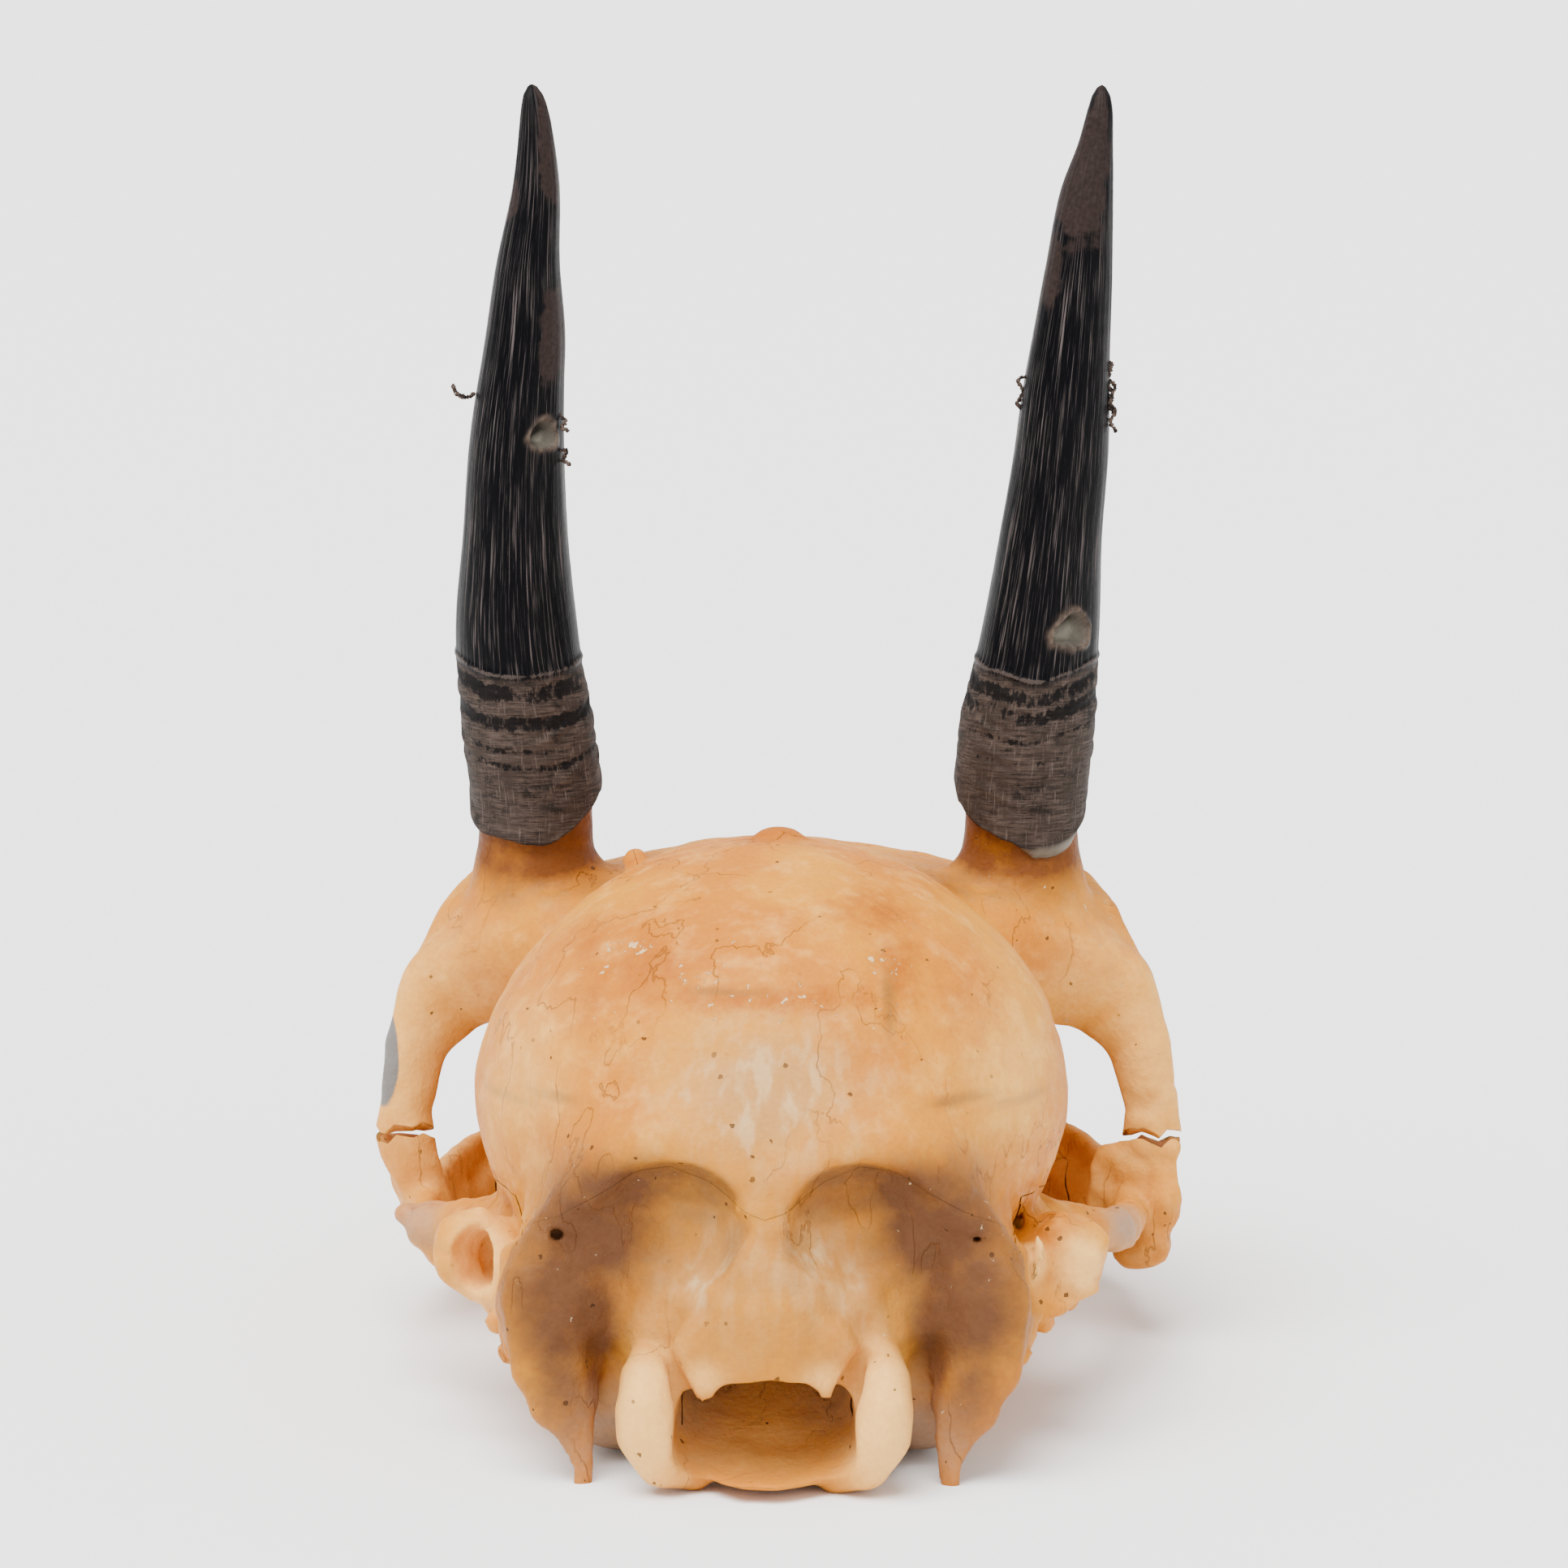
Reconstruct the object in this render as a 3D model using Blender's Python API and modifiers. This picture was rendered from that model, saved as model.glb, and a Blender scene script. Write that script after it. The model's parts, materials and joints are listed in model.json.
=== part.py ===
"""Skull of a steenbok, life size: the bones of the head without the lower jaw, and the two horn sheaths.

The bone is first one blended solid, because a skull has no flat or turned faces: egg shapes, tapered rods
and lofts between unlike sections run into one another with soft fillets, and the orbits, pits and passages
are taken out the same way. It is held as distances on a grid whose zero is the skin, and thin cuts along the
sutures then part it into the bones. Each horn sheath is a ring carried along its own curve.

All sizes below are in millimetres; the meshes are in metres. +Y is the way the nose points, +X is the
animal's right, and the skull rests on the plane z = 0 with its cheek teeth and the tips beside the neck joint.
"""

import math

import bmesh
import bpy
import numpy as np
import openvdb
from mathutils import Euler, Matrix, Vector

METRE = 0.001
COLLECTION = "steenbok_skull"
CUTTERS = "steenbok_skull_cutters"

# The whole skull.
LENGTH = 136.0
CELL = 0.8
SUTURE = 0.3
BONE_FACES = 7200
FLOOR_Z = 0.0

# The braincase.
CASE_HALF_WIDTH = 26.0
CASE_TOP = 50.0
CASE_MIDDLE_Z = 29.0
CASE_WIDEST_Y = 29.0
CASE_BACK_Y = 6.5

# The back of the skull.
CREST = (
    (0, 6.8, 24.6), (2.2, 6.9, 25.4), (4.6, 6.9, 27.0), (7.4, 7.1, 28.2), (10.4, 7.3, 28.0),
    (13.6, 8.0, 26.2), (16.6, 9.0, 22.8), (19.6, 9.6, 18.6), (21.1, 9.8, 14.6), (20.5, 9.2, 11.0),
)
CREST_RADIUS = 2.1
FORAMEN_HALF_WIDTH = 7.4
FORAMEN_TOP = 9.4
FORAMEN_FLOOR = 1.5
JOINT = (
    (10.2, 5.2, 11.2), (10.4, 3.4, 9.8), (10.3, 2.5, 7.8), (9.9, 2.3, 5.4), (8.4, 2.9, 3.0), (6.4, 4.6, 2.6),
    (6.0, 7.5, 3.0),
)
JOINT_RADII = (1.8, 2.3, 2.5, 2.6, 2.5, 2.2, 2.0)
HOOK_TIP_X = 15.7

# The eye sockets.
ORBIT_CENTRE = (29.8, 71.5, 24.6)
ORBIT_RADIUS = 15.4
ORBIT_FACES = (0.88, 0.42, 0.22)
ORBIT_RIM = (
    (34.6, 57.6, 21), (34.2, 59.2, 14.5), (33, 63.8, 10.2), (31, 71, 8.8), (28, 78, 9.8),
    (25, 83.4, 13.6), (23.4, 86.2, 20), (22.8, 85.9, 27), (23.6, 82.6, 33.6), (25.4, 76.5, 38.2),
    (27.6, 70, 39.6), (29.8, 64.2, 38), (32.2, 60, 33.6), (33.8, 58, 27.5), (34.6, 57.6, 21),
)
ORBIT_RIM_RADII = (1.9, 2.0, 2.0, 1.9, 2.0, 2.1, 2.4, 2.5, 2.4, 2.2, 2.0, 2.0, 2.0, 1.9, 1.9)
BAR_GAP_Z = 18.7
BAR_GAP = 0.9

# The face and the teeth.
FACE_STATIONS_Y = (70, 78, 84, 90, 96, 104, 112, 120, 128, 136)
FACE_HALF_WIDTH = (13.5, 15, 15.3, 14, 12.2, 9.9, 8.5, 7.6, 6.7, 4.8)
FACE_TAPER = (-0.25, -0.25, -0.24, -0.24, -0.2, -0.12, -0.04, 0.05, 0.1, 0.1)
FACE_TOP = (42.5, 41.4, 39.8, 37.4, 34.4, 27, 21.6, 17.2, 13.4, 11)
FACE_BOTTOM = (9, 8.8, 8.6, 8.6, 8.6, 8.6, 8.4, 7.8, 7.2, 6.8)
TOOTH_NAMES = ("P2", "P3", "P4", "M1", "M2", "M3")
TOOTH_LENGTHS = (5.0, 5.6, 5.6, 8.6, 10.2, 10.0)
TOOTH_WIDTHS = (4.4, 5.4, 6.6, 7.6, 8.0, 7.2)
TEETH_FRONT_Y = 100.5
TEETH_ROW_Y = (55, 68, 80, 91, 100)
TEETH_ROW_X = (14.6, 15.4, 15.4, 13.6, 11.4)
GUM_Z = 6.0
NASAL_STATIONS_Y = (82, 90, 100, 107, 113)
NASAL_HALF_WIDTH = (9.0, 8.6, 8.2, 6.6, 1.6)

# The sutures: where they lie, and the clear space beyond the bone that the cuts reach into.
BACK_SUTURE_Y = 9.8
BASE_HALF_WIDTH = 6.6
BASE_TOP = 12.1
BASE_FRONT_Y = 27.2
CROWN_SUTURE_Y = 46.5
EAR_FRONT_Y = 28.07
EAR_TOP_Z = 23.5
THROAT_TOP_Z = 15.1
CHEEK_TOP_Z = 15.6
OUTSIDE_X = 40
JAW_X = 27
BELOW_Z = -6
NEAR = 7.0
BONE_MIDDLES = {
    "occipital": (0, 13.6, 13.4),
    "braincase": (0, 28.0, 28.0),
    "ear_left": (-17.7, 18.9, 11.2),
    "ear_right": (17.7, 18.9, 11.2),
    "frontal": (0, 67.3, 38.6),
    "sphenoid": (0, 64.1, 20.0),
    "palatine": (0, 54.7, 11.9),
    "zygomatic_left": (-29.6, 68.5, 12.2),
    "zygomatic_right": (29.6, 68.5, 12.2),
    "maxilla_left": (-13.7, 82.4, 19.5),
    "maxilla_right": (13.5, 82.4, 19.5),
    "nasal_left": (-4.3, 100, 32),
    "nasal_right": (4.3, 100, 32),
    "premaxilla_left": (-4.7, 120.3, 15.1),
    "premaxilla_right": (4.5, 120.4, 15.1),
}

# The horns: the bone cores, and the sheaths' centre lines and widths by height.
CORE_RADIUS = 5.3
CORE_X = 22.4
CORE_Y = 62.2
CORE_TOP = 58.0
HORN_Z = (44.0, 49.4, 55.9, 64.3, 75.7, 87.0, 92.2, 98.8, 106.1, 109.8, 113.4, 115.2)
HORN_Y = (62.3, 62.3, 62.1, 61.9, 61.8, 62.2, 62.6, 63.0, 64.0, 64.6, 65.3, 65.8)
HORN_X = {
    "left": (-22.4, -22.4, -23.1, -24.1, -24.2, -23.7, -23.2, -22.9, -22.3, -22.3, -22.5, -22.7),
    "right": (22.3, 22.3, 22.8, 23.9, 25.2, 26.2, 26.7, 27.3, 28.1, 28.8, 29.3, 29.4),
}
HORN_WIDTHS = {
    "left": (12.4, 12.4, 12.4, 11.3, 9.45, 8.1, 7.45, 5.95, 4.3, 3.35, 2.1, 1.0),
    "right": (12.4, 12.4, 12.5, 11.0, 9.3, 8.1, 7.2, 6.0, 4.5, 3.1, 2.0, 1.0),
}
HORN_FOOT_Z = 44.0
HORN_RINGS = 26
HORN_SIDES = 8
SOCKET = ((38, 5.65), (46, 5.6), (50, 5.5), (53, 5.2), (55, 4.7), (57, 3.7), (58.8, 2.2))
RIM_Z = 49.9
RIM_SLANT = 0.52
RIM_LEAN = 0.15
TRIM_SIZE = 60.0
TIP_STEP = 0.6

# Colours.
BONE_COLOUR = (0.72, 0.53, 0.31, 1)
BONE_COLOURS = {
    "braincase": (0.74, 0.55, 0.33, 1),
    "occipital": (0.70, 0.53, 0.34, 1),
    "frontal": (0.68, 0.42, 0.19, 1),
}
BONE_ROUGHNESS = 0.7
HORN_COLOUR = (0.035, 0.033, 0.032, 1)
HORN_ROUGHNESS = 0.4


def soft_min(first, second, blend):
    """The smaller of two distances, rounded over the width blend where they meet."""
    near = np.maximum(blend - np.abs(first - second), 0) / blend
    return np.minimum(first, second) - near * near * blend / 4


def egg(centre, radii, turn=(0, 0, 0)):
    """An ellipsoid, as (distance function, lowest corner, highest corner), turned by degrees about X, Y, Z."""
    axes = np.array(Euler([math.radians(angle) for angle in turn]).to_matrix(), np.float32)
    centre, radii = np.array(centre, np.float32), np.array(radii, np.float32)

    def distance(*place):
        offset = [axis - middle for axis, middle in zip(place, centre)]
        local = [sum(axes[row][column] * offset[row] for row in range(3)) for column in range(3)]
        length = np.sqrt(sum((part / radius) ** 2 for part, radius in zip(local, radii)))
        slope = np.sqrt(sum((part / radius**2) ** 2 for part, radius in zip(local, radii)))
        return length * (length - 1) / np.maximum(slope, 1e-6)

    reach = np.sqrt((axes**2 * radii**2).sum(axis=1))
    return distance, centre - reach, centre + reach


def rods(points, radii, thin=None, share=1.0):
    """A chain of tapered round rods, flattened in the direction thin to this share of its width."""
    points, radii = np.array(points, np.float32), np.array(radii, np.float32)
    flat = np.array(Vector(thin or (0, 0, 1)).normalized(), np.float32)

    def distance(*place):
        nearest = None
        for start, end, first, last in zip(points, points[1:], radii, radii[1:]):
            along = end - start
            offset = [axis - low for axis, low in zip(place, start)]
            share_along = sum(part * step for part, step in zip(offset, along)) / (along @ along)
            share_along = np.clip(share_along, 0, 1)
            offset = [part - share_along * step for part, step in zip(offset, along)]
            radius = first + (last - first) * share_along
            across = sum(part * step for part, step in zip(offset, flat))
            square = sum(part**2 for part in offset) - across**2
            length = np.sqrt(square / radius**2 + (across / (radius * share)) ** 2)
            slope = np.sqrt(square / radius**4 + across**2 / (radius * share) ** 4)
            found = length * (length - 1) / np.maximum(slope, 1e-6)
            nearest = found if nearest is None else np.minimum(nearest, found)
        return nearest

    widest = radii[:, None]
    return distance, (points - widest).min(axis=0), (points + widest).max(axis=0)


def smooth_through(stations, values, at):
    """The values at these places on a smooth curve through the stations."""
    stations, values = np.array(stations, float), np.array(values, float)
    slopes = np.gradient(values, stations)
    index = np.clip(np.searchsorted(stations, at) - 1, 0, len(stations) - 2)
    step = stations[index + 1] - stations[index]
    t = np.clip((at - stations[index]) / step, 0, 1)
    start = (1 + 2 * t) * (1 - t) ** 2 * values[index] + t * (1 - t) ** 2 * step * slopes[index]
    end = t * t * (3 - 2 * t) * values[index + 1] + t * t * (t - 1) * step * slopes[index + 1]
    return (start + end).astype(np.float32)


def loft(stations, half_width, bottom, top, taper, power=2.6):
    """A body along Y whose section is a rounded box: half_width at mid height, changed upwards by taper."""
    stations = np.array(stations, float)

    def distance(x, y, z):
        width = smooth_through(stations, half_width, y)
        low, high = smooth_through(stations, bottom, y), smooth_through(stations, top, y)
        lean = smooth_through(stations, taper, y)
        height = (high - low) / 2
        up = (z - (high + low) / 2) / height
        side = np.abs(x) / (width * (1 + lean * np.clip(up, -1.2, 1.2)))
        length = (side**power + np.abs(up) ** power) ** (1 / power) + 1e-6
        sideways = (side / length) ** (power - 1) / width
        upwards = (np.abs(up) / length) ** (power - 1) / height
        slope = np.hypot(sideways, upwards)
        section = (length - 1) / np.maximum(slope, 1e-3)
        ends = np.maximum(stations[0] - y, y - stations[-1]).astype(np.float32)
        return -soft_min(-section, -ends + 0 * section, 3.0)

    wide = max(half_width) * (1 + max(abs(share) for share in taper))
    low = np.array((-wide, stations[0], min(bottom)), np.float32)
    high = np.array((wide, stations[-1], max(top)), np.float32)
    return distance, low, high


def both_sides(shape):
    """The shape and its mirror image across the middle plane of the skull."""
    distance, low, high = shape
    reach = max(abs(low[0]), abs(high[0]))
    wide_low = np.array((-reach, low[1], low[2]), np.float32)
    wide_high = np.array((reach, high[1], high[2]), np.float32)
    return (lambda x, y, z: distance(np.abs(x), y, z)), wide_low, wide_high


class Blend:
    """A solid held as distances to its surface, in millimetres, on a grid where shapes are added or cut."""

    def __init__(self, low, high, cell):
        self.low, self.cell = np.array(low, np.float32), cell
        counts = np.ceil((np.array(high) - self.low) / cell).astype(int) + 1
        steps = [cell * np.arange(count, dtype=np.float32) for count in counts]
        self.axes = [start + step for start, step in zip(self.low, steps)]
        self.field = np.full(counts, 6.0, np.float32)

    def window(self, low, high, margin):
        ranges = [
            slice(*np.searchsorted(axis, (start - margin, end + margin)))
            for axis, start, end in zip(self.axes, low, high)
        ]
        near = [axis[part] for axis, part in zip(self.axes, ranges)]
        return tuple(ranges), np.meshgrid(*near, indexing="ij", sparse=True)

    def add(self, shape, blend=2.0):
        distance, low, high = shape
        ranges, place = self.window(low, high, blend + 3 * self.cell)
        self.field[ranges] = soft_min(self.field[ranges], distance(*place), blend)

    def cut(self, shape, blend=1.0):
        distance, low, high = shape
        ranges, place = self.window(low, high, blend + 3 * self.cell)
        self.field[ranges] = -soft_min(-self.field[ranges], distance(*place), blend)

    def mesh(self, name):
        """The surface of the solid as a Blender mesh, in metres."""
        grid = openvdb.FloatGrid(background=6.0)
        grid.copyFromArray(self.field)
        grid.transform = openvdb.createLinearTransform(voxelSize=self.cell)
        points, _, quads = grid.convertToPolygons(isovalue=0.0, adaptivity=0.0)
        mesh = bpy.data.meshes.new(name)
        mesh.from_pydata((points + self.low) * METRE, [], quads)
        return mesh


def braincase(bone):
    """The egg of the braincase, widest behind, and its front part that narrows between the orbits."""
    half_length = CASE_WIDEST_Y - CASE_BACK_Y
    upper = CASE_TOP - 1.0 - CASE_MIDDLE_Z
    bone.add(egg((0, CASE_WIDEST_Y, CASE_MIDDLE_Z), (CASE_HALF_WIDTH, half_length, upper)), 1)
    bone.add(egg((0, 37, 30.6), (23, 24, 19.6)), 5)
    bone.add(egg((0, 15, 17), (21.5, 10.5, 10.5)), 5)
    bone.add(egg((0, 30, 14), (17, 20, 7)), 5)
    bone.add(egg((0, 49, 34), (19, 20, 12.6)), 4)


def forehead(bone):
    """The frontal shield between and over the orbits, with the two posts that carry the horns."""
    bone.add(egg((0, 67, 35.0), (29, 20, 8.6)), 5)
    bone.add(egg((0, 60, 36.5), (20, 20, 7.6)), 4)
    bone.add(loft((48, 60, 72, 84), (11, 9.5, 9.5, 12), (11, 11, 10, 9), (39, 40, 40, 38), (0.1,) * 4), 5)
    core = [(CORE_X + 0.2, CORE_Y - 0.5, 38), (CORE_X, CORE_Y, 45), (CORE_X, CORE_Y, 50)]
    core += [(CORE_X, CORE_Y, CORE_TOP - 4)]
    bone.add(both_sides(rods(core, (7.0, CORE_RADIUS, CORE_RADIUS - 0.2, 4.0))), 3)


def orbits(bone):
    """The eye sockets, a bowl each in front of the hollow for the jaw muscle, and their raised rims."""
    turn_z = math.degrees(math.atan2(ORBIT_FACES[1], ORBIT_FACES[0]))
    bowl = Vector(ORBIT_CENTRE) - 4.5 * Vector(ORBIT_FACES)
    bone.cut(both_sides(egg(bowl, (17.5, ORBIT_RADIUS - 0.6, ORBIT_RADIUS - 1.0), (0, 0, turn_z))), 2)
    bone.cut(both_sides(egg((30, 49.5, 21), (10.5, 9.5, 12))), 2)
    tear = [(20.4, 85.8, 14), (19.2, 86.6, 21), (18.4, 86.0, 29), (18.4, 83.5, 35)]
    bone.add(both_sides(rods(tear, (4.4, 4.4, 4.6, 4.6), (0.2, 1, 0), 0.5)), 2)
    bone.add(both_sides(rods(ORBIT_RIM, ORBIT_RIM_RADII)), 2)
    back = [(34.7, 57.2, 17.0), (34.4, 57.4, 21), (33.2, 58.0, 27), (31.0, 59.2, 32.0), (27.5, 60.5, 35)]
    bone.add(both_sides(rods(back, (2.1, 2.3, 3.1, 3.7, 4.2), (0.3, 1, 0), 0.6)), 1.5)
    web = [(30, 58.5, 32.0), (26, 57.5, 34.0), (20, 55.5, 35)]
    bone.add(both_sides(rods(web, (4.0, 5.0, 6.5), (0.2, 1, 0.2), 0.5)), 2.5)


def cheeks(bone):
    """The bar below each orbit and the arch that runs back from it to the side of the braincase."""
    corner = [(34.6, 57.3, 18.6), (33.4, 57.0, 15.4), (32.3, 57.2, 12.2), (32.2, 60, 9.8)]
    corner += [(32.6, 64, 9.2)]
    bone.add(both_sides(rods(corner, (2.6, 2.4, 2.2, 2.2, 2.1), (0, 1, 0), 0.75)), 1.2)
    body = [(31.8, 70, 8.6), (27.5, 78.5, 8.8), (21, 86, 10.5)]
    bone.add(both_sides(rods(body, (2.2, 2.8, 4.6), (0, 0.2, 1), 0.9)), 2.5)
    arch = [(21.5, 28.5, 16.4), (26.5, 33, 15.6), (31, 38, 14.8), (32.3, 47, 13.4), (32.6, 57, 12)]
    bone.add(both_sides(rods(arch, (4.4, 2.8, 2.3, 1.9, 2.0), (0.9, 0.3, 0.2), 0.8)), 1.6)
    bone.add(both_sides(egg((23, 32, 14.6), (6.2, 5.6, 2.6))), 2)
    bone.add(egg((-31.2, 37.1, 14.8), (2.3, 2.9, 2.3)), 0.8)
    bone.add(rods([(35.2, 55.9, 12.8), (34.3, 56.3, 8.8)], (1.9, 2.1)), 1.2)


def occiput(bone):
    """The back of the skull: the double crest, the hollows under it, the neck joint and the two hooks."""
    bone.add(both_sides(rods(CREST, (CREST_RADIUS,) * len(CREST))), 4)
    bone.add(egg((0, 14, 27.5), (17.5, 8.2, 8.5)), 3)
    bone.add(rods([(0, 9.5, 22), (0, 7.0, 17), (0, 6.0, 12)], (4.5, 6.5, 7.2), (0, 1, 0), 0.8), 3)
    bone.cut(both_sides(egg((9.2, 3.4, 21.8), (7.6, 4.7, 5.4), (0, 18, 0))), 1)
    bone.cut(both_sides(egg((14.6, 3.6, 18.2), (4.8, 4.8, 7.6), (0, 20, -12))), 1.6)
    bone.add(rods([(0, 6.5, 4.0), (0, 18, 7.2), (0, 30, 10)], (8.0, 7.2, 5.5), (0, 0, 1), 0.42), 2.5)
    bone.add(both_sides(rods([(8.2, 8.6, 12.5), (8.2, 8.6, 5)], (3.6, 3.4))), 2)
    bone.add(both_sides(rods(JOINT, JOINT_RADII)), 0.8)
    hook = [(18.0, 8.4, 15.5), (17.9, 7.8, 10.5), (17.2, 7.2, 7.2), (16.2, 6.6, 4.0)]
    hook += [(HOOK_TIP_X, 6.2, 1.6), (HOOK_TIP_X, 6.1, -1.0)]
    bone.add(both_sides(rods(hook, (4.8, 4.2, 3.2, 2.1, 1.5, 1.3), (0.3, 1, 0), 0.5)), 1.2)
    bone.cut(both_sides(egg((14.1, 4.4, 10.4), (1.3, 4.4, 3.4), (0, 8, 0))), 0.9)


def ears(bone):
    """The smooth capsules under the braincase, and the bony tubes: the left open, the right broken off."""
    bone.add(both_sides(egg((12.9, 17.0, 7.2), (5.9, 7.6, 7.0), (0, 0, 12))), 1.5)
    bone.add(both_sides(rods([(17, 18, 11), (22.6, 20.5, 14.5), (25.8, 21.3, 16.6)], (4.0, 3.7, 3.6))), 1.5)
    bone.add(both_sides(rods([(18.4, 16, 15), (18.8, 13, 12)], (4.0, 3.4))), 3)
    bone.add(both_sides(rods([(21.6, 15, 17.4), (21.9, 14, 13.2), (21.4, 13, 9.6)], (1.6, 1.8, 1.4))), 1)
    bone.cut(rods([(-24.6, 22.0, 15.8), (-26.0, 16.8, 16.9)], (2.2, 3.5), (1, 0, 0), 0.6), 0.4)
    bone.cut(egg((28.0, 11.4, 16.8), (6.4, 6.4, 5.6), (0, 0, -8)), 0.4)


def face(bone):
    """The upper jaw, the long walls of the nose, and the hollow pits in front of the orbits."""
    bone.add(loft(FACE_STATIONS_Y, FACE_HALF_WIDTH, FACE_BOTTOM, FACE_TOP, FACE_TAPER), 3)
    gums = [(14.4, 57, 10.5), (15.3, 68, 10.5), (15.4, 80, 10.5), (13.6, 91, 10.5), (11.2, 99, 10.5)]
    bone.add(both_sides(rods(gums, (4.4, 4.8, 4.6, 4.0, 3.4))), 2.5)
    bone.add(rods([(0, 62, 11), (0, 80, 11), (0, 98, 10.6)], (13, 13.5, 11), (0, 0, 1), 0.16), 2)
    bone.cut(both_sides(egg((20.6, 95.5, 23), (6.4, 8.0, 6.0), (0, 0, 20))), 2)


def teeth(bone):
    """Six cheek teeth a side, one lobe for each premolar and two for each molar, down to the floor."""
    rear = TEETH_FRONT_Y
    for name, length, width in zip(TOOTH_NAMES, TOOTH_LENGTHS, TOOTH_WIDTHS):
        lobes = 2 if name.startswith("M") else 1
        lobe = length / lobes
        for count in range(lobes):
            middle = rear - lobe * (count + 0.5)
            across = float(smooth_through(TEETH_ROW_Y, TEETH_ROW_X, np.array([middle]))[0])
            crown = [(across, middle, GUM_Z + 4), (across, middle, FLOOR_Z - 1.5)]
            radii = (width / 2, width / 2)
            bone.add(both_sides(rods(crown, radii, (0, 1, 0), 1.12 * lobe / width)), 0.6)
        rear -= length


def nose(bone):
    """The nose bones and the open passage under them, with the slits in the front of the palate."""
    passage = (92, 100, 108, 116, 126, 140)
    low, high = (15, 13, 12, 11, 10.2, 9.6), (30, 36, 40, 42, 36, 34)
    bone.cut(loft(passage, (5.5, 7.0, 7.1, 6.6, 5.8, 5.0), low, high, (0.1,) * 6), 1)
    top = (40.6, 38.2, 33.4, 29.6, 26.9)
    bone.add(loft(NASAL_STATIONS_Y, NASAL_HALF_WIDTH, (34, 32.4, 28.6, 25.6, 24.8), top, (-0.2,) * 5), 1)
    under = (94, 100, 108, 114)
    bone.cut(loft(under, (5.6, 6.2, 5.4, 4.0), (22, 20, 18, 16), (33, 31.2, 27.2, 25.0), (0,) * 4), 1)
    bone.cut(both_sides(egg((3.6, 118, 9), (1.4, 11, 6), (0, 0, 3))), 0.5)


def passages(bone):
    """The opening for the spinal cord, as deep as it can be seen into, and two ducts behind the palate."""
    middle_z = (FORAMEN_TOP + FORAMEN_FLOOR) / 2
    share = (FORAMEN_TOP - FORAMEN_FLOOR) / 2 / FORAMEN_HALF_WIDTH
    tunnel = [(0, -2, middle_z), (0, 5, middle_z + 0.3), (0, 13, middle_z + 4), (0, 27, middle_z + 10)]
    radii = (FORAMEN_HALF_WIDTH, FORAMEN_HALF_WIDTH, 6.6, 5.6)
    bone.cut(rods(tunnel, radii, (0, 0, 1), share), 0.6)
    bone.cut(both_sides(rods([(4.2, 44, 7.4), (4.2, 62, 8.0)], (2.6, 3.4))), 1.5)


def skull_bone(cell):
    """All the bone in one piece, from the braincase forward."""
    bone = Blend((-42, -4, -4), (42, LENGTH + 4, 62), cell)
    braincase(bone)
    forehead(bone)
    face(bone)
    orbits(bone)
    cheeks(bone)
    occiput(bone)
    ears(bone)
    nose(bone)
    passages(bone)
    teeth(bone)
    return bone


def helper(name, mesh, cutters):
    """A cutter object: it takes part in Booleans and is in no picture."""
    made = bpy.data.objects.new(name, mesh)
    cutters.objects.link(made)
    made.hide_render = True
    made.display_type = "WIRE"
    return made


def sheet(name, points, faces, cutters, width):
    """A thin wall of this width round an open surface, given in millimetres."""
    mesh = bpy.data.meshes.new(name)
    mesh.from_pydata([Vector(point) * METRE for point in points], [], faces)
    made = helper(name, mesh, cutters)
    wall = made.modifiers.new("thickness", "SOLIDIFY")
    wall.thickness = width * METRE
    wall.offset = 0
    wall.use_even_offset = True
    return made


def ribbon(name, points, sweep, cutters, width=SUTURE):
    """A thin bent wall that parts the bone: the line through the points, carried along sweep."""
    far = [Vector(point) + Vector(sweep) for point in points]
    count = len(points)
    faces = [(index, index + 1, count + index + 1, count + index) for index in range(count - 1)]
    return sheet(name, list(points) + far, faces, cutters, width)


def mirrored(points):
    return [(-x, y, z) for x, y, z in points]


def upright(outline, y):
    """An outline given as (x, z) and standing at this y."""
    return [(x, y, z) for x, z in outline]


def back_sutures(cutters):
    """The cuts that free the back bone, whose base runs forward under the spinal passage between the ears."""
    out, base, high = OUTSIDE_X, BASE_HALF_WIDTH - 0.4, BASE_TOP
    outline = [(-out, BELOW_Z), (-out, high), (-out, 24), (out, 24), (out, high), (out, BELOW_Z)]
    outline += [(base, BELOW_Z), (base, 8.8), (8.7, high), (-8.7, high), (-base, 8.8), (-base, BELOW_Z)]
    wall = upright(outline, BACK_SUTURE_Y) + [(out, 3.5, 31.4), (-out, 3.5, 31.4)]
    faces = [(1, 9, 8, 4, 3, 2), (8, 7, 6, 5, 4), (1, 0, 11, 10, 9), (2, 3, 12, 13)]
    roof = [(-9.8, BACK_SUTURE_Y - 0.5, high), (9.8, BACK_SUTURE_Y - 0.5, high)]
    wide = base + 1.0
    front = [(-wide, BELOW_Z), (-wide, 8.8), (-9.9, 12.9), (9.9, 12.9), (wide, 8.8), (wide, BELOW_Z)]
    return [
        sheet("cut_back", wall, faces, cutters, SUTURE),
        ribbon("cut_base_top", roof, (0, EAR_FRONT_Y - BACK_SUTURE_Y + 1, 0), cutters),
        sheet("cut_base_front", upright(front, BASE_FRONT_Y), [tuple(range(len(front)))], cutters, SUTURE),
    ]


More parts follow.
